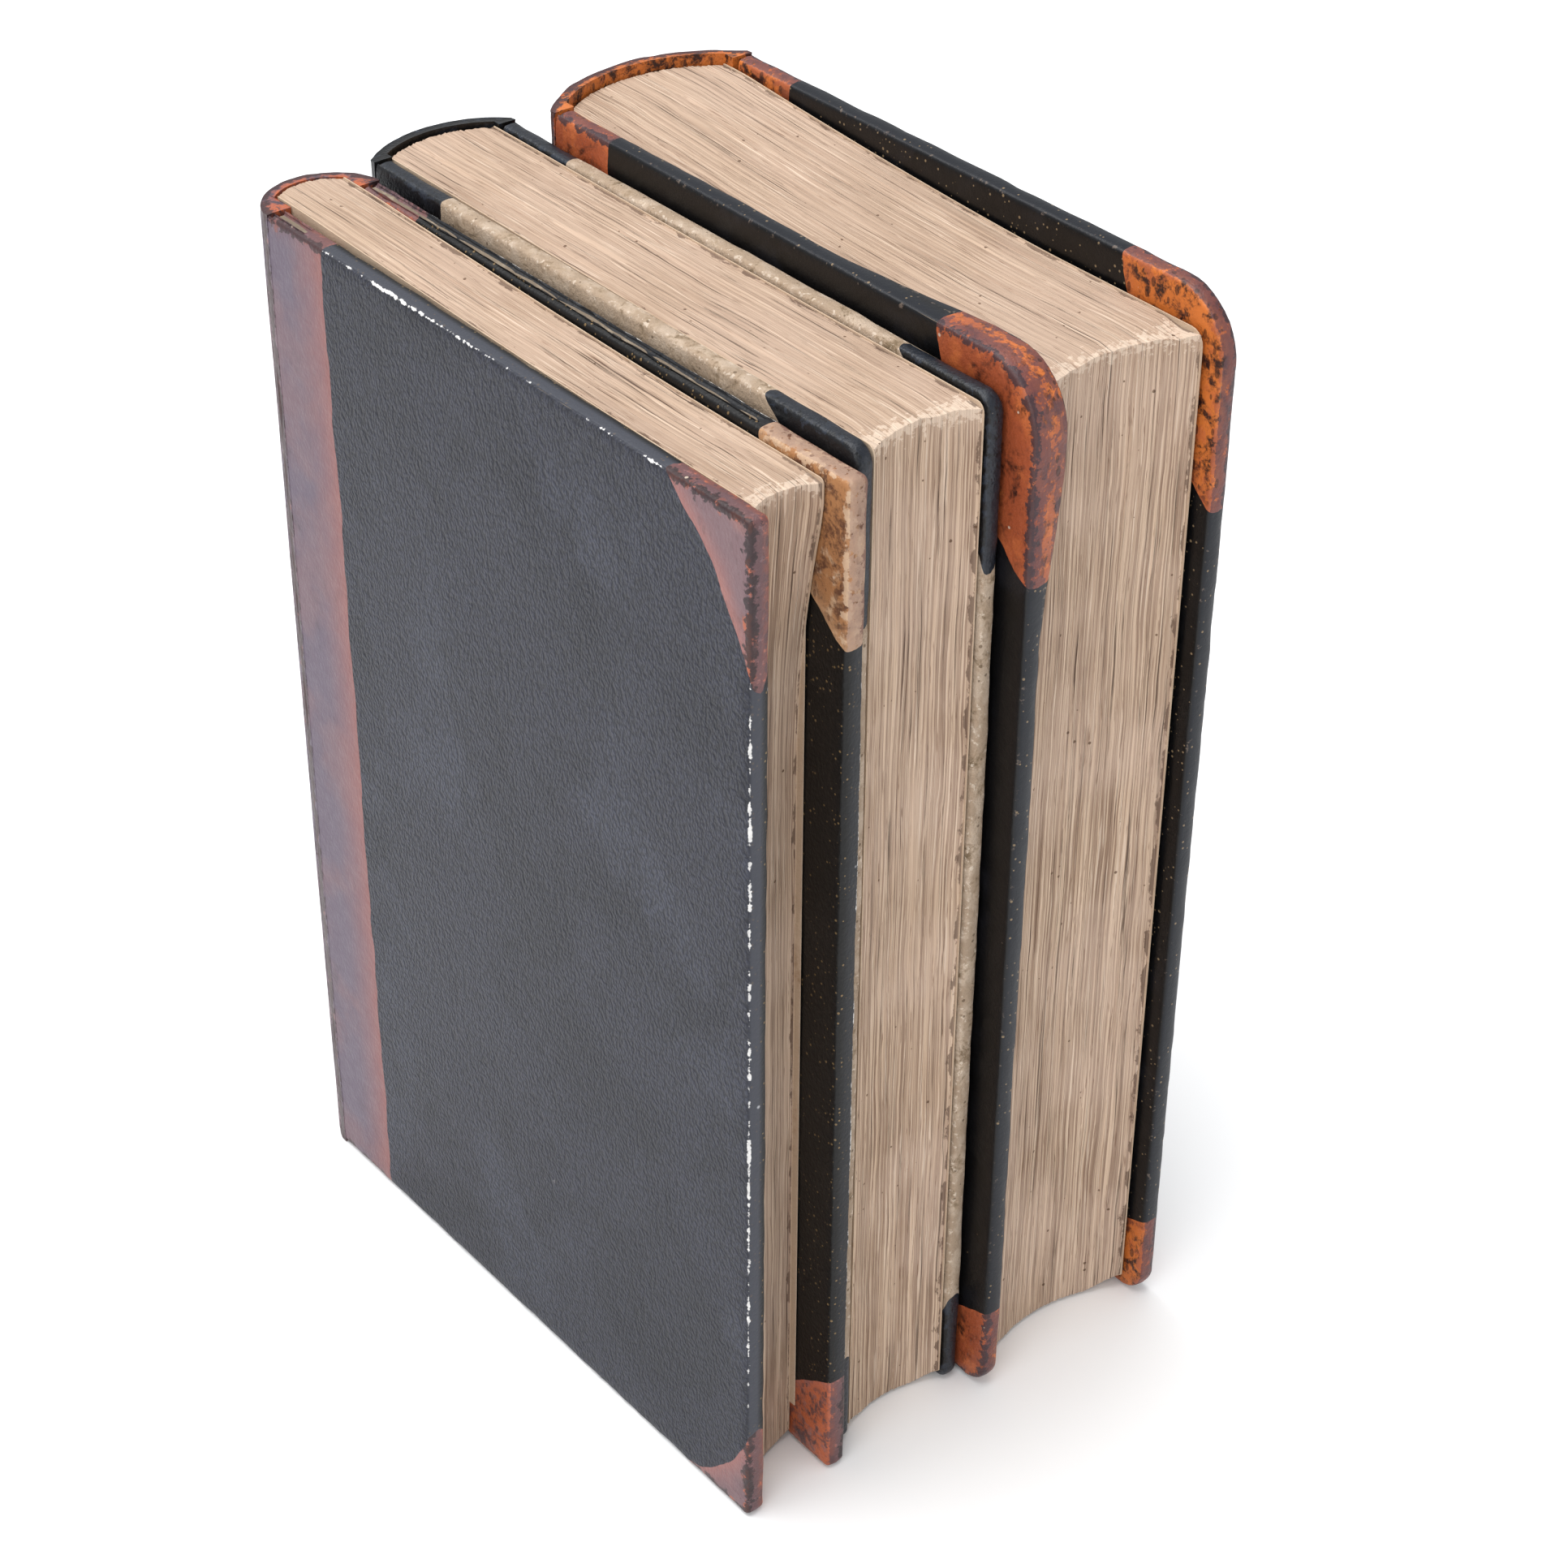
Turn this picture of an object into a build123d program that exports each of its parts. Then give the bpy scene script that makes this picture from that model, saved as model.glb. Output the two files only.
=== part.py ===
from build123d import *
from dataclasses import dataclass
from math import sqrt
import os

# A prayer book in three small half-leather volumes, standing in a row on their tail edges.
# Millimetres. +X runs through the row, from the left volume to the right one, +Y from the
# fore-edges to the spines, and +Z up. The origin is on the shelf, under the row's middle.

# Covering: leather on the spine, joints and corners, cloth or paper on the sides
covering = 0.5              # thickness of the pared leather and of the sides
turn_in = 9.0               # covering folded over an edge of the board or of the back

# End papers
end_paper = 0.15            # thickness of a pastedown or a flyleaf
pastedown_margin = 7.0      # turned-in covering left bare round a pastedown

# Leaves
section_thickness = 1.55    # wanted thickness of one folded section
section_gap = 0.05          # air between two sections
tail_square = 0.6           # the leaves hang this far above the shelf

# Back, from the leather inwards
hollow_card = 0.8           # card tube that lets the leather arch away from the leaves
lining_paper = 0.4          # lining glued to the backs of the sections
hollow_overhang = 1.0       # card past each side of the leaves
text_depth = covering + hollow_card + covering + lining_paper

# Sewing
cord_diameter = 1.0
cord_clearance = 0.05       # play of a cord in its saw-cut
cord_count = 4
cord_inset = 18.0           # first and last cord, from the ends of the leaves

# Joints of the covers
joint_setback = 1.2         # hinge line, in front of the shoulder of the spine
board_setback = 0.6         # spine edge of a board, in front of the hinge line
joint_gap = 0.3             # slit in the covering along the hinge line of a cover that opens
leaf_gap = 0.3              # air between the pastedown and the flyleaf of such a cover

volume_gap = 0.3            # air between two volumes
cut_over = 1.0              # overshoot of a cutting tool


@dataclass
class Volume:
    """One bound volume. Its place in the row, left and front, is worked out below."""

    name: str
    thickness: float        # over both covers
    height: float           # of the covers
    depth: float            # fore-edge of the covers to the crown of the spine
    set_back: float         # fore-edge, behind the foremost volume's
    spine_round: float      # crown of the spine, behind its shoulders
    cover: float            # covered board
    head_square: float      # cover above the leaves
    fore_square: float      # cover in front of the leaves
    fore_hollow: float      # how deep the fore-edge of the leaves is hollowed
    head_radius: float      # fore corner of a cover at the head
    tail_radius: float      # fore corner of a cover at the tail
    joint_leather: float    # leather on a board, from the hinge line
    head_corner: tuple      # leather along the head edge and down the fore-edge
    tail_corner: tuple      # leather along the tail edge and up the fore-edge
    corner_bow: float       # how far a corner piece's edge bows in towards its corner, or out
    opens: str              # the cover that has room to open in the row
    left: float = 0.0
    front: float = 0.0

    @property
    def centre(self):
        return self.left + self.thickness / 2

    @property
    def shoulder(self):
        return self.front + self.depth - self.spine_round

    @property
    def hinge_line(self):
        return self.shoulder - joint_setback

    @property
    def board_back(self):
        return self.hinge_line - board_setback

    @property
    def leaves_height(self):
        return self.height - self.head_square - tail_square

    def slack(self, side, gap):
        """A gap that only the cover that opens has."""
        return gap if self.opens == side else 0.0

    @property
    def leaves(self):
        """Front and rear faces of the block of sections."""
        lining = self.cover + 2 * end_paper
        front_face = self.left + lining + self.slack("front", leaf_gap)
        rear_face = self.left + self.thickness - lining - self.slack("rear", leaf_gap)
        return front_face, rear_face

    def back(self, x, depth):
        """Y of the rounded back at x, at a depth under the face of the leather."""
        half = self.thickness / 2
        radius = (half**2 + self.spine_round**2) / (2 * self.spine_round)
        arc_centre = self.shoulder + self.spine_round - radius
        return arc_centre + sqrt((radius - depth) ** 2 - (x - self.centre) ** 2)

    def fore(self, x):
        """Y of the hollow fore-edge of the leaves at x."""
        front_face, rear_face = self.leaves
        half = (rear_face - front_face) / 2
        radius = (half**2 + self.fore_hollow**2) / (2 * self.fore_hollow)
        arc_centre = self.front + self.fore_square + self.fore_hollow - radius
        return arc_centre + sqrt(radius**2 - (x - front_face - half) ** 2)


@dataclass
class Cover:
    """One cover of a volume. Depths are measured inwards from its outer face."""

    volume: Volume
    side: str

    @property
    def inward(self):
        return 1 if self.side == "front" else -1

    def x(self, depth):
        outer = 0 if self.side == "front" else self.volume.thickness
        return self.volume.left + outer + self.inward * depth

    def plane(self, depth):
        """Plane parallel to the cover: sketch X is the row's Y, and sketch Y its Z."""
        return Plane.YZ.offset(self.x(depth))

    def name(self, piece):
        return f"{self.volume.name}_{self.side}_{piece}"


volumes = [
    Volume(
        name="left",
        thickness=16.9,
        height=150.0,
        depth=103.3,
        set_back=1.6,
        spine_round=6.3,
        cover=3.3,
        head_square=1.7,
        fore_square=4.0,
        fore_hollow=1.4,
        head_radius=1.2,
        tail_radius=1.2,
        joint_leather=12.0,
        head_corner=(16.0, 22.0),
        tail_corner=(14.0, 16.0),
        corner_bow=2.6,
        opens="front",
    ),
    Volume(
        name="middle",
        thickness=22.0,
        height=151.5,
        depth=100.5,
        set_back=4.4,
        spine_round=4.3,
        cover=2.8,
        head_square=2.0,
        fore_square=0.8,
        fore_hollow=2.2,
        head_radius=3.0,
        tail_radius=2.0,
        joint_leather=14.5,
        head_corner=(17.0, 24.0),
        tail_corner=(15.0, 16.0),
        corner_bow=2.6,
        opens="",
    ),
    Volume(
        name="right",
        thickness=32.5,
        height=155.0,
        depth=99.5,
        set_back=0.0,
        spine_round=6.9,
        cover=3.2,
        head_square=5.0,
        fore_square=3.0,
        fore_hollow=3.6,
        head_radius=9.0,
        tail_radius=4.0,
        joint_leather=11.0,
        head_corner=(18.0, 28.0),
        tail_corner=(14.0, 14.0),
        corner_bow=-3.0,
        opens="rear",
    ),
]


def place_in_row():
    """Stand the volumes side by side, with the origin under the middle of their outline."""
    row_width = sum(v.thickness for v in volumes) + volume_gap * (len(volumes) - 1)
    row_front = min(v.set_back for v in volumes)
    row_back = max(v.set_back + v.depth for v in volumes)
    left = -row_width / 2
    for volume in volumes:
        volume.left = left
        volume.front = volume.set_back - (row_front + row_back) / 2
        left += volume.thickness + volume_gap


def save(piece, name):
    """Label a finished piece and write it."""
    piece.part.label = name
    export_step(piece.part, f"parts/{name}.step")


# Plans, drawn on the shelf plane


def leaves_plan(volume, x_a, x_b):
    """Leaves between two planes, from the hollow fore-edge to the rounded back."""
    x_mid = (x_a + x_b) / 2
    fore = [(x, volume.fore(x)) for x in (x_a, x_mid, x_b)]
    back = [(x, volume.back(x, text_depth)) for x in (x_b, x_mid, x_a)]
    with BuildSketch(Plane.XY.offset(tail_square)) as plan:
        with BuildLine():
            ThreePointArc(*fore)
            Line(fore[-1], back[0])
            ThreePointArc(*back)
            Line(back[-1], fore[0])
        make_face()
    return plan.sketch


def back_plan(volume, outer, inner, x_a, x_b, height):
    """A layer of the rounded back between two depths under the face of the leather."""
    x_mid = (x_a + x_b) / 2
    outer_arc = [(x, volume.back(x, outer)) for x in (x_a, x_mid, x_b)]
    inner_arc = [(x, volume.back(x, inner)) for x in (x_b, x_mid, x_a)]
    with BuildSketch(Plane.XY.offset(height)) as plan:
        with BuildLine():
            ThreePointArc(*outer_arc)
            Line(outer_arc[-1], inner_arc[0])
            ThreePointArc(*inner_arc)
            Line(inner_arc[-1], outer_arc[0])
        make_face()
    return plan.sketch


def spine_plan(volume):
    """The leather round the back, with a wing on each side as far as the hinge line."""
    x_a = volume.left
    x_b = volume.left + volume.thickness
    front_end = volume.hinge_line + volume.slack("front", joint_gap / 2)
    rear_end = volume.hinge_line + volume.slack("rear", joint_gap / 2)
    inner_a = x_a + covering
    inner_b = x_b - covering
    with BuildSketch() as plan:
        with BuildLine():
            Line((x_a, front_end), (x_a, volume.shoulder))
            ThreePointArc(
                (x_a, volume.shoulder),
                (volume.centre, volume.back(volume.centre, 0)),
                (x_b, volume.shoulder),
            )
            Line((x_b, volume.shoulder), (x_b, rear_end))
            Line((x_b, rear_end), (inner_b, rear_end))
            Line((inner_b, rear_end), (inner_b, volume.back(inner_b, covering)))
            ThreePointArc(
                (inner_b, volume.back(inner_b, covering)),
                (volume.centre, volume.back(volume.centre, covering)),
                (inner_a, volume.back(inner_a, covering)),
            )
            Line((inner_a, volume.back(inner_a, covering)), (inner_a, front_end))
            Line((inner_a, front_end), (x_a, front_end))
        make_face()
    return plan.sketch


# Leaves and back


def cord_heights(volume):
    """Heights of the sewing cords, evenly spaced between the two end ones."""
    first = tail_square + cord_inset
    spacing = (volume.leaves_height - 2 * cord_inset) / (cord_count - 1)
    return [first + i * spacing for i in range(cord_count)]


def make_sections(volume):
    """Folded sections side by side, with a saw-cut across their backs for each cord."""
    front_face, rear_face = volume.leaves
    count = round((rear_face - front_face) / section_thickness)
    pitch = (rear_face - front_face + section_gap) / count
    cut_depth = cord_diameter + 2 * cord_clearance
    with BuildPart() as sections:
        for i in range(count):
            x_a = front_face + i * pitch
            extrude(leaves_plan(volume, x_a, x_a + pitch - section_gap), amount=volume.leaves_height)
        for height in cord_heights(volume):
            cut = back_plan(
                volume,
                text_depth - cut_over,
                text_depth + cut_depth,
                front_face - end_paper,
                rear_face + end_paper,
                height - cut_depth / 2,
            )
            extrude(cut, amount=cut_depth, mode=Mode.SUBTRACT)
    save(sections, f"{volume.name}_sections")


def make_cords(volume):
    """Cords that the sections are sewn on, each one bent round the back in its saw-cut."""
    radius = cord_diameter / 2
    depth = text_depth + cord_clearance + radius
    front_face, rear_face = volume.leaves
    ends = (front_face + radius, volume.centre, rear_face - radius)
    with BuildPart() as cords:
        for height in cord_heights(volume):
            with BuildLine() as route:
                ThreePointArc(*[(x, volume.back(x, depth), height) for x in ends])
            with BuildSketch(Plane(origin=route.line @ 0, z_dir=route.line % 0)):
                Circle(radius)
            sweep(path=route.line)
    save(cords, f"{volume.name}_sewing_cords")


def make_lining(volume):
    """Paper glued over the backs of the sections and flyleaves."""
    front_face, rear_face = volume.leaves
    plan = back_plan(
        volume,
        text_depth - lining_paper,
        text_depth,
        front_face - end_paper,
        rear_face + end_paper,
        tail_square,
    )
    with BuildPart() as lining:
        extrude(plan, amount=volume.leaves_height)
    save(lining, f"{volume.name}_spine_lining")


def make_spine(volume):
    """Card hollow, and the leather that is drawn over it and turned in at head and tail."""
    front_face, rear_face = volume.leaves
    x_a = front_face - hollow_overhang
    x_b = rear_face + hollow_overhang
    card_depth = covering + hollow_card
    with BuildPart() as hollow:
        card_plan = back_plan(volume, covering, card_depth, x_a, x_b, covering)
        extrude(card_plan, amount=volume.height - 2 * covering)
    with BuildPart() as leather:
        extrude(spine_plan(volume), amount=volume.height)
        extrude(back_plan(volume, covering, card_depth, x_a, x_b, 0), amount=volume.height)
        add(hollow.part, mode=Mode.SUBTRACT)
        for height in (0, volume.height - turn_in):
            skirt = back_plan(volume, card_depth, card_depth + covering, x_a, x_b, height)
            extrude(skirt, amount=turn_in)
    save(hollow, f"{volume.name}_spine_hollow")
    save(leather, f"{volume.name}_spine_leather")


def make_flyleaf(volume, side):
    """The loose leaf of an end paper, tipped to the first or the last section."""
    front_face, rear_face = volume.leaves
    x_a = front_face - end_paper if side == "front" else rear_face
    with BuildPart() as flyleaf:
        extrude(leaves_plan(volume, x_a, x_a + end_paper), amount=volume.leaves_height)
    save(flyleaf, f"{volume.name}_{side}_flyleaf")


# Covers


def cover_outline(cover, inset, depth, back):
    """Outline of a cover, set in from its finished edges, from the fore-edge to y = back."""
    volume = cover.volume
    with BuildSketch(cover.plane(depth)) as outline:
        with Locations((volume.front + inset, inset)):
            Rectangle(
                back - volume.front - inset,
                volume.height - 2 * inset,
                align=(Align.MIN, Align.MIN),
            )
        tail_corner = outline.vertices().group_by(Axis.X)[0].sort_by(Axis.Y)[0]
        fillet(tail_corner, volume.tail_radius - inset)
        head_corner = outline.vertices().group_by(Axis.X)[0].sort_by(Axis.Y)[-1]
        fillet(head_corner, volume.head_radius - inset)
    return outline.sketch


def panel_outline(cover, margin, depth):
    """Plain panel inside a cover, open at the spine edge of the board."""
    volume = cover.volume
    with BuildSketch(cover.plane(depth)) as outline:
        with Locations((volume.front + margin, margin)):
            Rectangle(
                volume.board_back - volume.front - margin,
                volume.height - 2 * margin,
                align=(Align.MIN, Align.MIN),
            )
    return outline.sketch


def corner_region(cover, at_head):
    """The part of a cover that a leather corner piece covers."""
    volume = cover.volume
    along, down = volume.head_corner if at_head else volume.tail_corner
    edge, up = (volume.height, 1) if at_head else (0, -1)
    along_end = (volume.front + along, edge)
    down_end = (volume.front, edge - up * down)
    with BuildSketch(cover.plane(-cut_over)) as region:
        with BuildLine():
            SagittaArc(along_end, down_end, -up * volume.corner_bow)
            Polyline(
                down_end,
                (volume.front - cut_over, edge - up * down),
                (volume.front - cut_over, edge + up * cut_over),
                (volume.front + along, edge + up * cut_over),
                along_end,
            )
        make_face()
    return region.sketch


def joint_region(cover):
    """The part of a cover that the leather of the joint covers."""
    volume = cover.volume
    with BuildSketch(cover.plane(-cut_over)) as region:
        with Locations((volume.hinge_line - volume.joint_leather, -cut_over)):
            Rectangle(
                volume.joint_leather + cut_over,
                volume.height + 2 * cut_over,
                align=(Align.MIN, Align.MIN),
            )
    return region.sketch


def make_cover(cover):
    """A board, the pieces that cover it and turn in round its edges, and its pastedown."""
    volume = cover.volume
    board_thickness = volume.cover - 2 * covering
    skin_back = volume.hinge_line - volume.slack(cover.side, joint_gap / 2)
    reach = cover.inward * (volume.cover + 2 * cut_over)

    with BuildPart() as board:
        outline = cover_outline(cover, covering, covering, volume.board_back)
        extrude(outline, amount=cover.inward * board_thickness)
        # card let in between the turn-ins, so that the inside is level
        infill = panel_outline(cover, covering + turn_in, covering + board_thickness)
        extrude(infill, amount=cover.inward * covering)
    save(board, cover.name("board"))

    with BuildPart() as skin:
        extrude(cover_outline(cover, 0, 0, skin_back), amount=cover.inward * covering)
        wrap = cover_outline(cover, 0, covering, volume.board_back)
        extrude(wrap, amount=cover.inward * (volume.cover - covering))
        add(board.part, mode=Mode.SUBTRACT)

    regions = {
        "joint_leather": joint_region(cover),
        "head_corner": corner_region(cover, at_head=True),
        "tail_corner": corner_region(cover, at_head=False),
    }
    for piece, region in regions.items():
        with BuildPart() as leather:
            add(skin.part)
            extrude(region, amount=reach, mode=Mode.INTERSECT)
        save(leather, cover.name(piece))

    with BuildPart() as side:
        add(skin.part)
        for region in regions.values():
            extrude(region, amount=reach, mode=Mode.SUBTRACT)
    save(side, cover.name("side"))

    with BuildPart() as pastedown:
        sheet = panel_outline(cover, pastedown_margin, volume.cover)
        extrude(sheet, amount=cover.inward * end_paper)
    save(pastedown, cover.name("pastedown"))


os.makedirs("parts", exist_ok=True)
place_in_row()
for volume in volumes:
    make_sections(volume)
    make_cords(volume)
    make_lining(volume)
    make_spine(volume)
    for side in ("front", "rear"):
        make_flyleaf(volume, side)
        make_cover(Cover(volume, side))
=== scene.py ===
import math
import random
from dataclasses import dataclass

import bpy
from mathutils import Matrix, Vector, kdtree


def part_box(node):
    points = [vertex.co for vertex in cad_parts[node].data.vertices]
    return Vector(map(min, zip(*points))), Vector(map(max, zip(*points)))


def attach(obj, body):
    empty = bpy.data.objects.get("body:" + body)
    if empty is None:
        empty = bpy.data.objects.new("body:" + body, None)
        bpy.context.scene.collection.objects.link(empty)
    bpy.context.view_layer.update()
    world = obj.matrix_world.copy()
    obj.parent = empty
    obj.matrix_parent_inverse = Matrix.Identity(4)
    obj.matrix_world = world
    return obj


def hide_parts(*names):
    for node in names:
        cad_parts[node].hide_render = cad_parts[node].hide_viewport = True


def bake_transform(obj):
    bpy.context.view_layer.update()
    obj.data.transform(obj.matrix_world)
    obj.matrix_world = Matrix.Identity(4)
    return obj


# A prayer book in three half-leather volumes: the worn coverings, the leaves and their finishes.
# Metres. +X runs through the row, +Y from the fore-edges to the spines, and +Z up.

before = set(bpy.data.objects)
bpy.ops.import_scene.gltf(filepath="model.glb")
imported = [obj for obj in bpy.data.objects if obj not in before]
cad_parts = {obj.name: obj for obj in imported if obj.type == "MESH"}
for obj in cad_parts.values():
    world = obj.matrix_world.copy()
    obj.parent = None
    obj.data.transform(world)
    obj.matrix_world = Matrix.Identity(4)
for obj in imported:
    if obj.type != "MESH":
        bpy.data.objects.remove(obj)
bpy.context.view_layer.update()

MM = 0.001
COVERING = 0.5 * MM         # thickness of the leather, cloth and paper coverings
TURN_IN = 9.5 * MM          # reach of the covering round an edge, over the inside of a board
JOINT_SETBACK = 1.2 * MM    # hinge line, in front of the shoulder of the spine
CARD = 1.8 * MM             # depth of the leather cap over the card hollow
CLEAR = 0.25 * MM           # air between the leaves and the leather turned in beside them
ARRIS = 0.8 * MM            # rounding that wear has given the edges of the covers
BEYOND = 2.0 * MM           # overshoot of a cutting tool
GRID = 1.6 * MM             # spacing of the mesh lines on a covering
LAP = 0.4 * MM              # overlap that welds the leather of a hinge to that of the spine
THICK_CORNER = 2.4 * MM     # extra thickness of the turned leather inside the right front cover
SEAM = 3 * MM               # reach of the wear along a seam between two coverings
JOINT_SEAM = 7 * MM         # the same on the leather by a spine, which has been handled more
TINY = 0.001 * MM


@dataclass
class Volume:
    """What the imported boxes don't say about one bound volume."""

    name: str
    opens: str              # the cover that can open
    head_radius: float      # fore corner of a cover at the head
    tail_radius: float      # fore corner of a cover at the tail
    fore_hollow: float      # how deep the fore-edge of the leaves is hollowed
    head_bevel: float       # worn bevel between the head and the fore-edge of the leaves
    corner_bows: dict       # how far the edges of a cover's corner pieces bow in, or out
    slump: float            # how far the rear leaves have sunk back below the head
    rise: float             # how far the leaves stand up by the spine
    swell: float            # how far dust and damp have raised the head of the leaves
    leather: str
    covering: str

    def box(self, *pieces):
        """Lowest and highest corner of some of the volume's CAD nodes."""
        boxes = [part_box(f"{self.name}_{piece}") for piece in pieces]
        lows, highs = zip(*boxes)
        low = Vector(min(corner[i] for corner in lows) for i in range(3))
        high = Vector(max(corner[i] for corner in highs) for i in range(3))
        return low, high

    @property
    def hinge_line(self):
        return self.box("spine_leather")[0].y

    @property
    def shoulder(self):
        return self.hinge_line + JOINT_SETBACK

    @property
    def back_circle(self):
        """X and Y of the centre of the rounded back, and its radius."""
        low, high = self.box("spine_leather")
        half, rise = (high.x - low.x) / 2, high.y - self.shoulder
        radius = (half**2 + rise**2) / (2 * rise)
        return (low.x + high.x) / 2, high.y - radius, radius


VOLUMES = [
    Volume(
        name="left",
        opens="front",
        head_radius=1.2 * MM,
        tail_radius=1.2 * MM,
        fore_hollow=1.4 * MM,
        head_bevel=0.7 * MM,
        corner_bows={"front": 2.6 * MM, "rear": -2.4 * MM},
        slump=4.0 * MM,
        rise=1.3 * MM,
        swell=0.5 * MM,
        leather="brown_leather",
        covering="slate_cloth",
    ),
    Volume(
        name="middle",
        opens="",
        head_radius=3.0 * MM,
        tail_radius=2.0 * MM,
        fore_hollow=2.2 * MM,
        head_bevel=1.2 * MM,
        corner_bows={"front": 2.6 * MM, "rear": 2.6 * MM},
        slump=0.0,
        rise=0.4 * MM,
        swell=1.1 * MM,
        leather="black_leather",
        covering="buff_paper",
    ),
    Volume(
        name="right",
        opens="rear",
        head_radius=9.0 * MM,
        tail_radius=4.0 * MM,
        fore_hollow=3.6 * MM,
        head_bevel=2.0 * MM,
        corner_bows={"front": -3.0 * MM, "rear": -3.0 * MM},
        slump=0.0,
        rise=3.4 * MM,
        swell=0.3 * MM,
        leather="russet_leather",
        covering="black_cloth",
    ),
]
SKINS = ("joint_leather", "head_corner", "tail_corner", "side")
LAYERS = ("edge", "hidden", "rim", "seam", "ridge")     # marks of wear on every covering


# Modelling by hand


def deselect():
    if bpy.context.mode != "OBJECT":
        bpy.ops.object.mode_set(mode="OBJECT")
    bpy.ops.object.select_all(action="DESELECT")


def pick(piece):
    """Make a piece the only selected one."""
    deselect()
    piece.select_set(True)
    bpy.context.view_layer.objects.active = piece


def block(name, low, high):
    """A rectangular block between two corners."""
    deselect()
    bpy.ops.mesh.primitive_cube_add(size=1, location=(low + high) / 2, scale=high - low)
    piece = bpy.context.object
    piece.name = name
    bpy.ops.object.transform_apply(location=True, rotation=True, scale=True)
    return piece


def rod(name, radius, axis, centre, length, facets=192):
    """A long cylinder along X or Z."""
    deselect()
    turn = (0, math.pi / 2, 0) if axis == "X" else (0, 0, 0)
    bpy.ops.mesh.primitive_cylinder_add(
        vertices=facets, radius=radius, depth=length, location=centre, rotation=turn
    )
    piece = bpy.context.object
    piece.name = name
    bpy.ops.object.transform_apply(location=True, rotation=True, scale=True)
    return piece


def copy_of(piece, name):
    twin = piece.copy()
    twin.data = piece.data.copy()
    twin.name = name
    bpy.context.collection.objects.link(twin)
    return twin


def discard(*pieces):
    for piece in pieces:
        bpy.data.objects.remove(piece, do_unlink=True)


def trim(piece, tool, operation, keep_tool=False):
    """Cut a piece with a tool, keep what both share, or weld the tool on."""
    pick(piece)
    modifier = piece.modifiers.new("trim", "BOOLEAN")
    modifier.operation = operation
    modifier.solver = "MANIFOLD"
    modifier.object = tool
    bpy.ops.object.modifier_apply(modifier=modifier.name)
    if not keep_tool:
        discard(tool)
    return piece


def select_edges(piece, wanted):
    """Go into edit mode with the edges selected whose two ends pass a test."""
    pick(piece)
    bpy.ops.object.mode_set(mode="EDIT")
    bpy.ops.mesh.select_mode(type="EDGE")
    bpy.ops.mesh.select_all(action="DESELECT")
    bpy.ops.object.mode_set(mode="OBJECT")
    points = piece.data.vertices
    for edge in piece.data.edges:
        a, b = (points[i].co for i in edge.vertices)
        edge.select = wanted(a, b)
    bpy.ops.object.mode_set(mode="EDIT")


def bevel(piece, wanted, offset, segments):
    select_edges(piece, wanted)
    bpy.ops.mesh.bevel(offset=offset, segments=segments, affect="EDGES", clamp_overlap=True)
    bpy.ops.object.mode_set(mode="OBJECT")


def slice_across(piece, axis, places):
    """Add mesh lines where planes square to an axis cross the piece."""
    pick(piece)
    normal = Vector(i == "XYZ".index(axis) for i in range(3))
    bpy.ops.object.mode_set(mode="EDIT")
    for place in places:
        bpy.ops.mesh.select_all(action="SELECT")
        bpy.ops.mesh.bisect(plane_co=normal * place, plane_no=normal, threshold=TINY / 10)
    bpy.ops.object.mode_set(mode="OBJECT")


def shave(piece, point, normal):
    """Plane off what lies on the far side of a plane."""
    pick(piece)
    bpy.ops.object.mode_set(mode="EDIT")
    bpy.ops.mesh.select_all(action="SELECT")
    bpy.ops.mesh.bisect(
        plane_co=point, plane_no=normal, clear_outer=True, use_fill=True, threshold=TINY / 10
    )
    bpy.ops.object.mode_set(mode="OBJECT")


def spread(low, high, step):
    """Evenly spaced places strictly between two ends."""
    count = max(1, round((high - low) / step))
    return [low + (high - low) * i / count for i in range(1, count)]


def weigh(piece, modifier, weight):
    """Let a modifier act on each point by its weight, 0 to 1."""
    group = piece.vertex_groups.new(name="weight")
    for point in piece.data.vertices:
        amount = weight(point.co)
        if amount > 0:
            group.add([point.index], amount, "REPLACE")
    modifier.vertex_group = group.name


def weather(piece, depth, grain, weight=None, direction="NORMAL", middle=1.0, stretch=(1, 1, 1)):
    """Wear the surface down unevenly. weight says how much each point takes part."""
    texture = bpy.data.textures.new(f"{piece.name}_wear", "CLOUDS")
    texture.noise_scale = 1.0
    texture.noise_depth = 2
    rule = bpy.data.objects.new("wear_rule", None)
    rule.scale = [grain * s for s in stretch]
    bpy.context.collection.objects.link(rule)
    bpy.context.view_layer.update()
    pick(piece)
    modifier = piece.modifiers.new("wear", "DISPLACE")
    modifier.texture = texture
    modifier.texture_coords = "OBJECT"
    modifier.texture_coords_object = rule
    modifier.direction = direction
    modifier.mid_level = middle
    modifier.strength = depth
    if weight:
        weigh(piece, modifier, weight)
    bpy.ops.object.modifier_apply(modifier=modifier.name)
    piece.vertex_groups.clear()
    discard(rule)


def push(piece, distance, direction, weight):
    """Move part of a piece along an axis. weight says how much each point takes part."""
    pick(piece)
    modifier = piece.modifiers.new("push", "DISPLACE")
    modifier.direction = direction
    modifier.mid_level = 0.0
    modifier.strength = distance
    weigh(piece, modifier, weight)
    bpy.ops.object.modifier_apply(modifier=modifier.name)
    piece.vertex_groups.clear()


def clamp(value):
    return min(1.0, max(0.0, value))


def mark(piece, name, measure):
    """Write a number on each point of a piece, which its finish reads."""
    attribute = piece.data.attributes.get(name) or piece.data.attributes.new(name, "FLOAT", "POINT")
    values = [measure(point.co) for point in piece.data.vertices]
    attribute.data.foreach_set("value", values)


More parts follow.
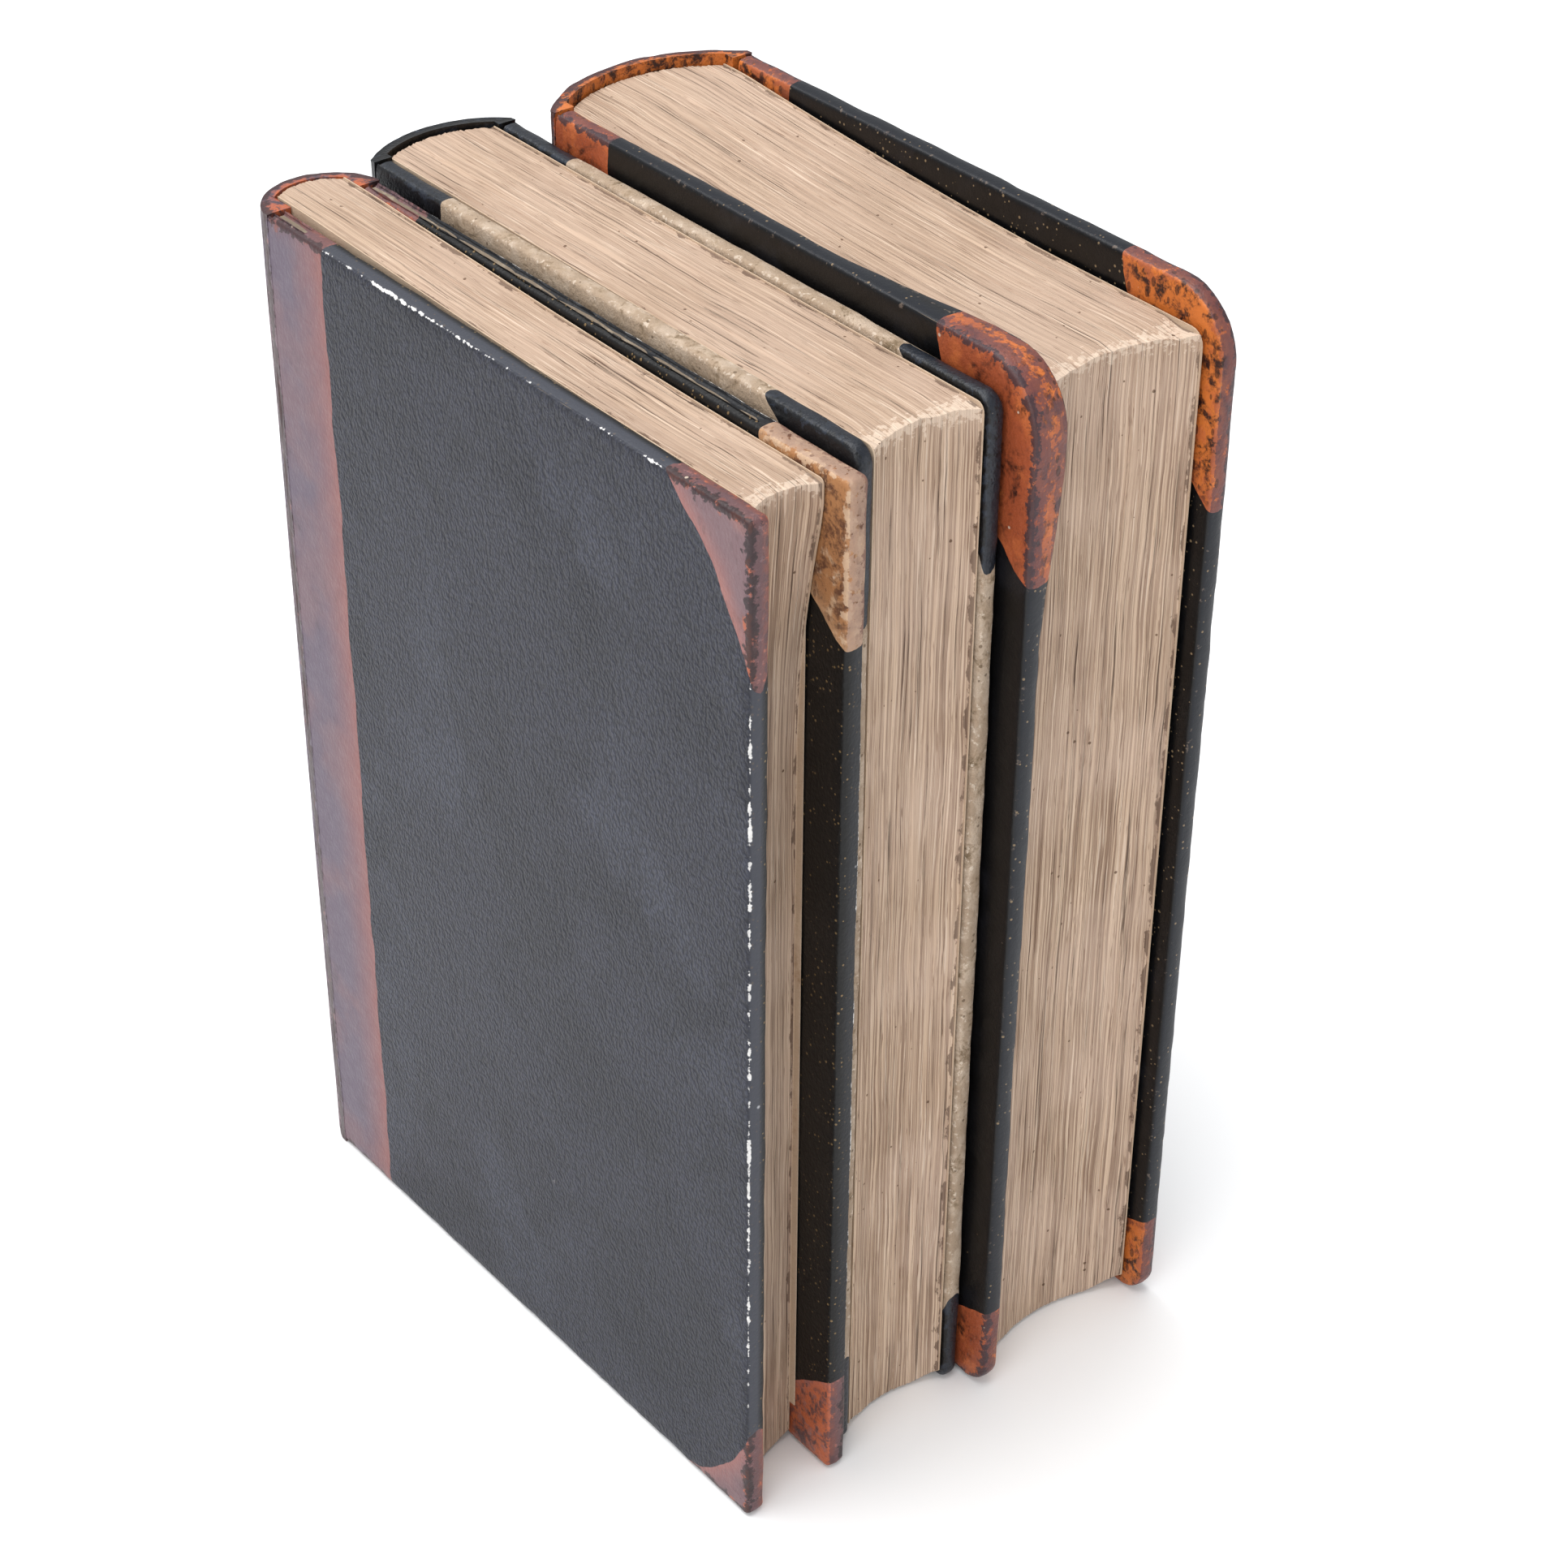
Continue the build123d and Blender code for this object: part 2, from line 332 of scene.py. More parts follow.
def mark_seam(piece, neighbours, reach):
    """Write how close each point is to the pieces that meet this one."""
    tree = kdtree.KDTree(sum(len(n.data.vertices) for n in neighbours))
    index = 0
    for neighbour in neighbours:
        for point in neighbour.data.vertices:
            tree.insert(point.co, index)
            index += 1
    tree.balance()
    mark(piece, "seam", lambda co: 1 - clamp(tree.find(co)[2] / reach))


def finish_piece(piece, material, body, replaces, angle=40):
    """Clean a modelled piece, give it its finish and let it ride on its body."""
    pick(piece)
    bpy.ops.object.mode_set(mode="EDIT")
    bpy.ops.mesh.select_all(action="SELECT")
    bpy.ops.mesh.remove_doubles(threshold=TINY)
    bpy.ops.mesh.select_all(action="SELECT")
    bpy.ops.mesh.normals_make_consistent(inside=False)
    bpy.ops.object.mode_set(mode="OBJECT")
    bpy.ops.object.shade_smooth_by_angle(angle=math.radians(angle))
    piece.data.materials.clear()
    piece.data.materials.append(material)
    if body:
        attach(piece, body)
    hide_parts(*replaces)
    return piece


# Finishes


class Finish:
    """Shorthand for filling a node tree."""

    def __init__(self, tree):
        self.tree = tree

    def add(self, kind, inputs=None, **settings):
        node = self.tree.nodes.new("ShaderNode" + kind)
        for name, value in settings.items():
            setattr(node, name, value)
        for key, value in (inputs or {}).items():
            socket = node.inputs[key]
            if isinstance(value, bpy.types.NodeSocket):
                self.tree.links.new(value, socket)
            else:
                socket.default_value = value
        return node

    def math(self, operation, a, b=0.0):
        return self.add("Math", {0: a, 1: b}, operation=operation).outputs[0]

    def mix(self, factor, a, b, blend="MIX"):
        inputs = {"Factor": factor, 6: a, 7: b}
        node = self.add("Mix", inputs, data_type="RGBA", blend_type=blend, clamp_factor=True)
        return node.outputs[2]

    def over(self, colour, mask, share, tint):
        """Lay a tint over a colour where a mask shows it, as strongly as its share says."""
        return self.mix(self.math("MULTIPLY", mask, share), colour, tint)

    def step(self, value, low, high, to_low=0.0, to_high=1.0):
        inputs = {0: value, 1: low, 2: high, 3: to_low, 4: to_high}
        return self.add("MapRange", inputs, interpolation_type="SMOOTHSTEP").outputs[0]

    def stretch(self, vector, factors):
        return self.add("VectorMath", {0: vector, 1: factors}, operation="MULTIPLY").outputs[0]

    def noise(self, vector, scale, detail=3.0, roughness=0.55, distortion=0.0):
        inputs = {
            "Vector": vector,
            "Scale": scale,
            "Detail": detail,
            "Roughness": roughness,
            "Distortion": distortion,
        }
        return self.add("TexNoise", inputs).outputs[0]

    def group(self, made, inputs):
        node = self.tree.nodes.new("ShaderNodeGroup")
        node.node_tree = made
        for key, value in inputs.items():
            if isinstance(value, bpy.types.NodeSocket):
                self.tree.links.new(value, node.inputs[key])
            else:
                node.inputs[key].default_value = value
        return node.outputs

    def millimetres(self):
        """The place on the piece, in millimetres."""
        place = self.add("TexCoord").outputs["Object"]
        return self.stretch(place, (1000, 1000, 1000))

    def attribute(self, name):
        return self.add("Attribute", attribute_name=name).outputs["Fac"]


def rgb(red, green, blue):
    """A colour given as it looks on a screen, 0 to 255."""
    linear = [((c / 255 + 0.055) / 1.055) ** 2.4 if c > 10 else c / 255 / 12.92 for c in (red, green, blue)]
    return (*linear, 1.0)


def new_group(name, inputs, outputs):
    """An empty node group with named sockets. Inputs are {name: default}."""
    tree = bpy.data.node_groups.new(name, "ShaderNodeTree")
    for socket, default in inputs.items():
        if default is None:
            kind = "NodeSocketVector"
        else:
            kind = "NodeSocketColor" if isinstance(default, tuple) else "NodeSocketFloat"
        made = tree.interface.new_socket(socket, in_out="INPUT", socket_type=kind)
        if default is not None:
            made.default_value = default
    for socket, kind in outputs.items():
        tree.interface.new_socket(socket, in_out="OUTPUT", socket_type="NodeSocket" + kind)
    entry = tree.nodes.new("NodeGroupInput")
    way_out = tree.nodes.new("NodeGroupOutput")
    return Finish(tree), entry.outputs, way_out.inputs


def connect(finish, value, socket):
    finish.tree.links.new(value, socket)


def make_wear_group():
    """Ragged wear: all of it at a marked edge, less and less away from it."""
    inputs = {"Place": None, "Closeness": 0.0, "Amount": 0.5, "Breaks": 0.5}
    f, given, out = new_group("ragged_wear", inputs, {"Mask": "Float"})
    ragged = f.noise(given["Place"], given["Breaks"], detail=5, roughness=0.65)
    raggedness = 2.2
    spread_out = f.math("MULTIPLY", f.math("SUBTRACT", ragged, 0.5), raggedness)
    reach = f.math("ADD", given["Closeness"], spread_out)
    start = f.math("SUBTRACT", 1.25, given["Amount"])
    over = f.math("SUBTRACT", reach, start)
    connect(f, f.step(over, 0.0, 0.14), out["Mask"])
    return f.tree


def make_pebble_group():
    """Pebbled grain of book cloth and leather: small raised grains between fine creases."""
    inputs = {"Place": None, "Size": 0.5, "Slant": 0.4}
    f, given, out = new_group("pebble_grain", inputs, {"Height": "Float"})
    wander = f.add("TexNoise", {"Vector": given["Place"], "Scale": 0.8, "Detail": 2.0}).outputs[1]
    shift = f.add("VectorMath", {0: wander, "Scale": 1.0}, operation="SCALE").outputs[0]
    moved = f.add("VectorMath", {0: given["Place"], 1: shift}, operation="ADD").outputs[0]
    slanted = f.stretch(moved, (1.0, 1.0, 0.62))
    turned = f.add("Mapping", {"Vector": slanted, "Rotation": (0.5, 0.0, 0.0)}).outputs[0]
    scale = f.math("DIVIDE", 1.0, given["Size"])
    cells = f.add(
        "TexVoronoi",
        {"Vector": turned, "Scale": scale, "Smoothness": 0.6},
        feature="SMOOTH_F1",
    ).outputs["Distance"]
    grain = f.math("SUBTRACT", 1.0, cells)
    fine = f.noise(given["Place"], 4.0, detail=3)
    connect(f, f.math("ADD", grain, f.math("MULTIPLY", fine, given["Slant"])), out["Height"])
    return f.tree


def make_patina_group():
    """Colour of old leather or paint: a base with dark clouds and brighter rubbed patches."""
    inputs = {
        "Place": None,
        "Dark": (0.1, 0.1, 0.1, 1.0),
        "Base": (0.3, 0.2, 0.1, 1.0),
        "Bright": (0.5, 0.3, 0.2, 1.0),
        "Blotch": 4.0,
        "Darkness": 0.5,
        "Brightness": 0.4,
    }
    f, given, out = new_group("patina", inputs, {"Color": "Color", "Height": "Float"})
    scale = f.math("DIVIDE", 1.0, given["Blotch"])
    cloud = f.noise(given["Place"], scale, detail=6, roughness=0.62, distortion=0.6)
    fine = f.noise(given["Place"], f.math("MULTIPLY", scale, 6.0), detail=5, roughness=0.7)
    both = f.math("ADD", f.math("MULTIPLY", cloud, 0.7), f.math("MULTIPLY", fine, 0.3))
    dark_from = f.math("SUBTRACT", 0.75, f.math("MULTIPLY", given["Darkness"], 0.5))
    dark = f.step(f.math("SUBTRACT", both, dark_from), -0.05, 0.10)
    other = f.noise(f.stretch(given["Place"], (1.0, 0.6, 0.6)), f.math("MULTIPLY", scale, 1.7), detail=6)
    bright_from = f.math("SUBTRACT", 0.80, f.math("MULTIPLY", given["Brightness"], 0.5))
    bright = f.step(f.math("SUBTRACT", other, bright_from), -0.06, 0.12)
    colour = f.mix(bright, given["Base"], given["Bright"])
    colour = f.mix(dark, colour, given["Dark"])
    connect(f, colour, out["Color"])
    connect(f, f.math("SUBTRACT", fine, f.math("MULTIPLY", dark, 0.3)), out["Height"])
    return f.tree


def make_speck_group():
    """Tiny scattered specks of dust or bare ground."""
    inputs = {"Place": None, "Spacing": 1.0, "Size": 0.2, "Share": 0.3}
    f, given, out = new_group("specks", inputs, {"Mask": "Float"})
    scale = f.math("DIVIDE", 1.0, given["Spacing"])
    cells = f.add("TexVoronoi", {"Vector": given["Place"], "Scale": scale, "Randomness": 1.0})
    chance = f.add("SeparateColor", {0: cells.outputs["Color"]}).outputs
    size = f.math("MULTIPLY", given["Size"], f.math("ADD", chance[1], 0.3))
    dot = f.step(f.math("SUBTRACT", size, cells.outputs["Distance"]), 0.0, 0.04)
    chosen = f.math("LESS_THAN", chance[0], given["Share"])
    connect(f, f.math("MULTIPLY", dot, chosen), out["Mask"])
    return f.tree


def make_streak_group():
    """The cut edges of many leaves: fine lines along every leaf, with darker and lighter ones."""
    inputs = {"Place": None, "Leaf": 0.14}
    masks = ("Fine", "Bundles", "Cracks", "Dashes", "Fibres", "Height")
    outputs = {mask: "Float" for mask in masks}
    f, given, out = new_group("leaf_streaks", inputs, outputs)
    slow = f.noise(f.stretch(given["Place"], (0.15, 0.05, 0.05)), 1.0, detail=2)
    wander = f.math("SUBTRACT", slow, 0.5)
    along = f.add("SeparateXYZ", {0: given["Place"]}).outputs
    x = f.math("ADD", along[0], wander)
    place = f.add("CombineXYZ", {0: x, 1: along[1], 2: along[2]}).outputs[0]
    per_leaf = f.math("DIVIDE", 1.0, given["Leaf"])
    fine_place = f.add("CombineXYZ", {
        0: f.math("MULTIPLY", x, per_leaf),
        1: f.math("MULTIPLY", along[1], 0.02),
        2: f.math("MULTIPLY", along[2], 0.02),
    }).outputs[0]
    fine = f.noise(fine_place, 1.0, detail=2, roughness=0.6)
    bundles = f.noise(f.stretch(place, (2.0, 0.012, 0.012)), 1.0, detail=4, roughness=0.6)
    cracks = f.noise(f.stretch(place, (3.4, 0.035, 0.035)), 1.0, detail=3, roughness=0.6)
    dashes = f.noise(f.stretch(place, (5.0, 0.16, 0.16)), 1.0, detail=3, roughness=0.6)
    connect(f, f.step(fine, 0.38, 0.62), out["Fine"])
    connect(f, f.step(bundles, 0.36, 0.64), out["Bundles"])
    connect(f, f.step(cracks, 0.66, 0.71), out["Cracks"])
    connect(f, f.step(dashes, 0.61, 0.68), out["Dashes"])
    fibres = f.noise(f.stretch(place, (4.4, 0.06, 0.06)), 1.0, detail=3, roughness=0.6)
    connect(f, f.step(fibres, 0.58, 0.68), out["Fibres"])
    height = f.math("SUBTRACT", fine, f.math("MULTIPLY", f.step(cracks, 0.60, 0.72), 0.9))
    connect(f, f.math("ADD", height, f.math("MULTIPLY", bundles, 0.6)), out["Height"])
    return f.tree


WEAR = make_wear_group()
PEBBLE = make_pebble_group()
PATINA = make_patina_group()
SPECKS = make_speck_group()
STREAKS = make_streak_group()


def new_material(name):
    """A material with one shader, and what its finish is drawn with."""
    material = bpy.data.materials.new(name)
    material.use_nodes = True
    finish = Finish(material.node_tree)
    shader = material.node_tree.nodes["Principled BSDF"]
    return material, finish, shader


def worn_mask(f, place, layer, amount, breaks):
    """Where a layer that marks closeness to an edge has worn, in patches about 1 / breaks mm long."""
    closeness = f.attribute(layer) if isinstance(layer, str) else layer
    inputs = {"Place": place, "Closeness": closeness, "Amount": amount, "Breaks": breaks}
    return f.group(WEAR, inputs)["Mask"]


def speck_mask(f, place, spacing, size, share):
    """Specks some millimetres apart, on a share of the places that could hold one."""
    inputs = {"Place": place, "Spacing": spacing, "Size": size, "Share": share}
    return f.group(SPECKS, inputs)["Mask"]


def bump(f, shader, height, depth_mm):
    """Relief of a surface, depth_mm deep, from a height between 0 and 1."""
    node = f.add("Bump", {"Height": height, "Strength": 1.0, "Distance": depth_mm * MM})
    f.tree.links.new(node.outputs[0], shader.inputs["Normal"])


def make_leaf_edges():
    """Cut edges of the leaves: tan paper, streaked, with dirt in the gaps, painted shade along their sides
    beside the boards, and worn pale arrises.
    """
    material, f, shader = new_material("leaf_edges")
    place = f.millimetres()
    streaks = f.group(STREAKS, {"Place": place, "Leaf": 0.25})
    head = f.attribute("head")
    colour = f.mix(streaks["Bundles"], rgb(204, 179, 155), rgb(177, 152, 130))
    fine_share = f.math("SUBTRACT", 0.76, f.math("MULTIPLY", head, 0.18))
    colour = f.over(colour, streaks["Fine"], fine_share, rgb(116, 90, 73))
    tone = f.step(f.noise(place, 0.045, detail=3), 0.35, 0.65)
    colour = f.over(colour, tone, 0.35, rgb(205, 181, 164))
    colour = f.over(colour, head, 0.45, rgb(166, 141, 122))
    colour = f.over(colour, streaks["Fibres"], 0.55, rgb(224, 204, 184))
    colour = f.over(colour, streaks["Dashes"], 0.6, rgb(104, 74, 56))
    colour = f.over(colour, streaks["Cracks"], 0.8, rgb(64, 44, 34))
    worn = worn_mask(f, place, "edge", amount=0.56, breaks=1.2)
    colour = f.over(colour, worn, 0.55, rgb(218, 199, 180))
    # Painted shade: the leaves are darker along their sides, in the recess beside the boards.
    flank_shade_place = f.stretch(place, (1.0, 0.35, 0.35))
    painted_flank_shade = worn_mask(f, flank_shade_place, "flank", amount=0.42, breaks=0.8)
    colour = f.over(colour, painted_flank_shade, 0.7, rgb(78, 56, 44))
    dirt = speck_mask(f, place, spacing=1.3, size=0.16, share=0.12)
    colour = f.over(colour, dirt, 0.8, rgb(84, 58, 40))
    connect(f, colour, shader.inputs["Base Color"])
    shader.inputs["Roughness"].default_value = 0.82
    shader.inputs["Specular IOR Level"].default_value = 0.25
    bump(f, shader, streaks["Height"], depth_mm=0.2)
    return material


@dataclass
class Leather:
    """Colours and wear of one old leather."""

    name: str
    dark: tuple
    base: tuple
    bright: tuple
    inside: tuple           # turned in, away from light and hands
    rubbed: tuple           # worn edges
    patina: tuple           # dark skin left along the outer arrises
    seam: tuple             # where it meets the sides
    rim: tuple              # on the thin edges of the boards
    blotch: float = 7.0     # size of its clouds in millimetres
    darkness: float = 0.42
    patina_amount: float = 0.5
    seam_strength: float = 0.5
    shine: float = 0.36
    speckle: float = 0.4


def make_leather(kind):
    """Old leather with clouds, rubbed edges, dark patina on its arrises and dark specks."""
    material, f, shader = new_material(kind.name)
    place = f.millimetres()
    tones = {"Dark": kind.dark, "Base": kind.base, "Bright": kind.bright}
    outer = f.group(
        PATINA, {"Place": place, **tones, "Blotch": kind.blotch, "Darkness": kind.darkness, "Brightness": 0.5}
    )
    tones["Base"] = kind.inside
    inner = f.group(PATINA, {"Place": place, **tones, "Blotch": 2.2, "Darkness": 0.5, "Brightness": 0.45})
    hidden = f.attribute("hidden")
    colour = f.mix(hidden, outer["Color"], inner["Color"])
    near_seam = f.math("POWER", f.attribute("seam"), 1.3)
    colour = f.over(colour, near_seam, kind.seam_strength, kind.seam)
    rubbed = worn_mask(f, place, "edge", amount=0.46, breaks=0.45)
    colour = f.over(colour, rubbed, 0.85, kind.rubbed)
    handled = worn_mask(f, place, "rim", amount=0.55, breaks=1.1)
    colour = f.over(colour, handled, 0.75, kind.rim)
    skin = worn_mask(f, place, "ridge", amount=kind.patina_amount, breaks=0.8)
    colour = f.over(colour, skin, 0.9, kind.patina)
    specks = speck_mask(f, f.stretch(place, (1.0, 1.0, 0.5)), spacing=0.8, size=0.4, share=0.3)
    share = f.math("MULTIPLY", f.math("ADD", hidden, 0.5), kind.speckle)
    colour = f.over(colour, specks, share, kind.dark)
    dust = speck_mask(f, place, spacing=3.2, size=0.07, share=0.35)
    colour = f.over(colour, dust, 0.7, rgb(206, 188, 170))
    grains = f.group(PEBBLE, {"Place": place, "Size": 0.45, "Slant": 0.5})
    connect(f, colour, shader.inputs["Base Color"])
    rough = f.step(outer["Height"], 0.2, 0.8, kind.shine, kind.shine + 0.16)
    connect(f, rough, shader.inputs["Roughness"])
    shader.inputs["Specular IOR Level"].default_value = 0.34
    relief = f.math("ADD", f.math("MULTIPLY", grains["Height"], 0.45), outer["Height"])
    bump(f, shader, relief, depth_mm=0.12)
    return material


def make_slate_cloth(name, rim):
    """Pebbled slate-black book cloth of the left volume, smooth on its folded edges, with painted shade in
    the creases of its grain and a painted sheen low on its outer face.
    """
    material, f, shader = new_material(name)
    place = f.millimetres()
    clouds = {"Dark": rgb(38, 40, 50), "Base": rgb(48, 50, 62), "Bright": rgb(58, 61, 74)}
    base = f.group(PATINA, {"Place": place, **clouds, "Blotch": 22.0, "Darkness": 0.45, "Brightness": 0.5})
    grains = f.group(PEBBLE, {"Place": place, "Size": 0.42, "Slant": 0.45})
    # Painted shade: the creases between the grains are darkened.
    creases = f.mix(0.6, base["Color"], rgb(16, 16, 20))
    colour = f.mix(f.step(grains["Height"], 0.55, 1.0), creases, base["Color"])
    # Painted sheen: a pale patch with ragged edges, low on the outer face.
    smear = worn_mask(f, place, "smear", amount=0.4, breaks=0.5)
    colour = f.over(colour, smear, 0.35, rgb(150, 146, 146))
    # On the thin edges the cloth takes a flat colour given per finish: on the left front cover it is lighter
    # than the cloth, a painted sheen; on the left rear cover it is near black.
    colour = f.mix(f.attribute("rim"), colour, rim)
    colour = f.mix(f.attribute("hidden"), colour, rgb(9, 8, 8))
    gilt = speck_mask(f, place, spacing=0.6, size=0.26, share=0.4)
    inside = f.math("ADD", f.attribute("hidden"), f.math("MULTIPLY", f.attribute("rim"), 0.3))
    colour = f.over(colour, f.math("MULTIPLY", gilt, inside), 0.6, rgb(132, 108, 72))
    dust = speck_mask(f, place, spacing=5.0, size=0.06, share=0.5)
    colour = f.over(colour, dust, 0.8, rgb(176, 176, 180))
    arris = f.step(f.attribute("ridge"), 0.68, 0.92)
    chips = worn_mask(f, place, arris, amount=0.67, breaks=1.0)
    colour = f.mix(chips, colour, rgb(222, 220, 218))
    connect(f, colour, shader.inputs["Base Color"])
    shader.inputs["Roughness"].default_value = 0.46
    shader.inputs["Specular IOR Level"].default_value = 0.3
    smooth = f.math("MAXIMUM", f.attribute("rim"), f.attribute("hidden"))
    relief = f.math("MULTIPLY", grains["Height"], f.math("SUBTRACT", 1.0, f.math("MULTIPLY", smooth, 0.85)))
    bump(f, shader, relief, depth_mm=0.3)
    return material


def make_black_cloth():
    """Glossy black sides of the right volume, with pale scuffs and dust, and a painted bluish reflection on
    their thin edges.
    """
    material, f, shader = new_material("black_cloth")
    place = f.millimetres()
    clouds = {"Dark": rgb(5, 5, 6), "Base": rgb(9, 9, 11), "Bright": rgb(22, 22, 26)}
    base = f.group(PATINA, {"Place": place, **clouds, "Blotch": 9.0, "Darkness": 0.4, "Brightness": 0.4})
    # Painted reflection: the thin edges are a bluish slate, where the gloss black faces the pale room.
    colour = f.mix(f.attribute("rim"), base["Color"], rgb(19, 22, 29))
    gilt = speck_mask(f, place, spacing=0.8, size=0.2, share=0.35)
    colour = f.over(colour, gilt, 0.6, rgb(150, 128, 98))
    scuffs = worn_mask(f, place, "edge", amount=0.2, breaks=1.1)
    colour = f.over(colour, scuffs, 0.45, rgb(128, 112, 100))
    connect(f, colour, shader.inputs["Base Color"])
    shader.inputs["Roughness"].default_value = 0.36
    shader.inputs["Specular IOR Level"].default_value = 0.3
    bump(f, shader, base["Height"], depth_mm=0.10)
    return material


def make_buff_paper():
    """Olive-buff paper sides of the middle volume, crumbling and stained."""
    material, f, shader = new_material("buff_paper")
    place = f.millimetres()
    clouds = {"Dark": rgb(108, 88, 62), "Base": rgb(166, 144, 122), "Bright": rgb(190, 170, 150)}
    base = f.group(PATINA, {"Place": place, **clouds, "Blotch": 3.6, "Darkness": 0.4, "Brightness": 0.6})
    plain = f.math("MULTIPLY", f.math("SUBTRACT", 1.0, f.attribute("edge")), 0.65)
    colour = f.mix(plain, base["Color"], rgb(158, 137, 114))
    crumbs = worn_mask(f, place, "edge", amount=0.3, breaks=1.3)
    colour = f.over(colour, crumbs, 0.7, rgb(214, 198, 180))
    dirt = speck_mask(f, place, spacing=0.9, size=0.22, share=0.25)
    colour = f.over(colour, dirt, 0.7, rgb(86, 66, 42))
    connect(f, colour, shader.inputs["Base Color"])
    shader.inputs["Roughness"].default_value = 0.8
    bump(f, shader, base["Height"], depth_mm=0.4)
    return material


def make_plain_stock(name, base, dark, pale, rough, grain_mm, fibres):
    """Paper, card, board or cord that is mostly out of sight, with fibres and stains."""
    material, f, shader = new_material(name)
    place = f.millimetres()
    tones = {"Dark": dark, "Base": base, "Bright": pale, "Blotch": grain_mm}
    stains = f.group(PATINA, {"Place": place, **tones, "Darkness": 0.3, "Brightness": 0.5})
    strands = f.noise(f.stretch(place, fibres), 1.0, detail=5, roughness=0.7)
    colour = f.mix(f.math("MULTIPLY", f.step(strands, 0.45, 0.75), 0.4), stains["Color"], dark)
    connect(f, colour, shader.inputs["Base Color"])
    shader.inputs["Roughness"].default_value = rough
    bump(f, shader, f.math("ADD", strands, stains["Height"]), depth_mm=0.08)
    return material


FINISHES = {
    "leaves": make_leaf_edges(),
    # The purple-grey outer tones of this leather are partly its own brown and partly a painted grey-purple
    # sheen.
    "brown_leather": make_leather(Leather(
        "brown_leather",
        dark=rgb(66, 54, 62),
        base=rgb(92, 80, 94),
        bright=rgb(106, 84, 92),
        inside=rgb(176, 92, 56),
        rubbed=rgb(120, 76, 70),
        patina=rgb(56, 40, 42),
        seam=rgb(140, 84, 74),
        rim=rgb(98, 68, 68),
        blotch=14.0,
        darkness=0.3,
        patina_amount=0.7,
        seam_strength=0.75,
        speckle=0.2,
    )),
    # The purple-grey outer tones of these corners are partly their own brown and partly a painted grey-purple
    # sheen.
    "brown_corner": make_leather(Leather(
        "brown_corner",
        dark=rgb(80, 58, 60),
        base=rgb(112, 86, 90),
        bright=rgb(134, 94, 90),
        inside=rgb(176, 92, 56),
        rubbed=rgb(168, 90, 60),
        patina=rgb(42, 30, 32),
        seam=rgb(166, 100, 86),
        rim=rgb(88, 60, 62),
        blotch=10.0,
        darkness=0.36,
        patina_amount=0.78,
        speckle=0.5,
    )),
    "tan_corner": make_leather(Leather(
        "tan_corner",
        dark=rgb(92, 58, 40),
        base=rgb(166, 132, 102),
        bright=rgb(196, 168, 138),
        inside=rgb(160, 112, 72),
        rubbed=rgb(194, 164, 136),
        patina=rgb(120, 88, 76),
        seam=rgb(196, 158, 122),
        rim=rgb(160, 132, 114),
        blotch=3.0,
        darkness=0.6,
        patina_amount=0.6,
        shine=0.6,
    )),
    "black_leather": make_leather(Leather(
        "black_leather",
        dark=rgb(10, 10, 11),
        base=rgb(17, 18, 21),
        bright=rgb(28, 31, 38),
        inside=rgb(14, 13, 13),
        rubbed=rgb(40, 46, 56),
        patina=rgb(16, 18, 22),
        seam=rgb(22, 22, 24),
        rim=rgb(32, 36, 44),
        shine=0.28,
    )),
    "russet_leather": make_leather(Leather(
        "russet_leather",
        dark=rgb(46, 24, 20),
        base=rgb(148, 72, 42),
        bright=rgb(180, 96, 52),
        inside=rgb(192, 106, 46),
        rubbed=rgb(158, 84, 52),
        patina=rgb(52, 38, 44),
        seam=rgb(176, 92, 56),
        rim=rgb(84, 54, 58),
        blotch=5.0,
        patina_amount=0.72,
        speckle=0.45,
    )),
    # The lighter slate given here for the front cover's rims is a painted sheen.
    "slate_cloth": make_slate_cloth("slate_cloth", rgb(58, 60, 68)),
    "black_rear_cloth": make_slate_cloth("black_rear_cloth", rgb(24, 25, 29)),
    "black_cloth": make_black_cloth(),
    "buff_paper": make_buff_paper(),
    "end_papers": make_plain_stock(
        "end_papers", rgb(190, 166, 142), rgb(164, 134, 106), rgb(198, 176, 152), 0.88, 11.0, (0.5, 2.0, 5.0)
    ),
    "lining_paper": make_plain_stock(
        "lining_paper", rgb(176, 154, 122), rgb(120, 92, 62), rgb(198, 180, 150), 0.88, 6.0, (2.0, 2.0, 0.6)
    ),
    "mill_board": make_plain_stock(
        "mill_board", rgb(122, 108, 92), rgb(78, 66, 54), rgb(150, 136, 118), 0.9, 2.4, (4.0, 1.4, 1.4)
    ),
    "cords": make_plain_stock(
        "cords", rgb(182, 160, 120), rgb(120, 96, 62), rgb(208, 190, 156), 0.9, 1.2, (3.0, 8.0, 8.0)
    ),
}


# Pieces that have worn otherwise than the rest of their leather or cloth
OWN_FINISHES = {
    "left_front_head_corner": "brown_corner",
    "left_front_tail_corner": "brown_corner",
    "left_rear_head_corner": "tan_corner",
    "left_rear_tail_corner": "brown_corner",
    "left_rear_side": "black_rear_cloth",
}


# Leaves


SINK_FROM = 4 * MM          # how far below the head the slumped leaves begin to sink back
SINK_OVER = 34 * MM         # height over which they sink all the way
SINK_REACH = 26 * MM        # how far in from the fore-edge they have sunk
RISE_FROM = 25 * MM         # how far from the fore-edge the head begins to stand up
RISE_LEVEL = 8 * MM         # width by the spine where it stands up all the way
SOFT_HEAD = 12 * MM         # height of the leaves that damp has swollen at the head
BAND = 4.5 * MM             # width of the pale band that handling has worn by the fore-edge
LEAF_GRID = 3 * MM          # spacing of the mesh lines along the leaves
LEAF_RIDGES = 0.24 * MM     # width of the ridges that single leaves make
ALONG_LEAVES = (1, 160, 160)


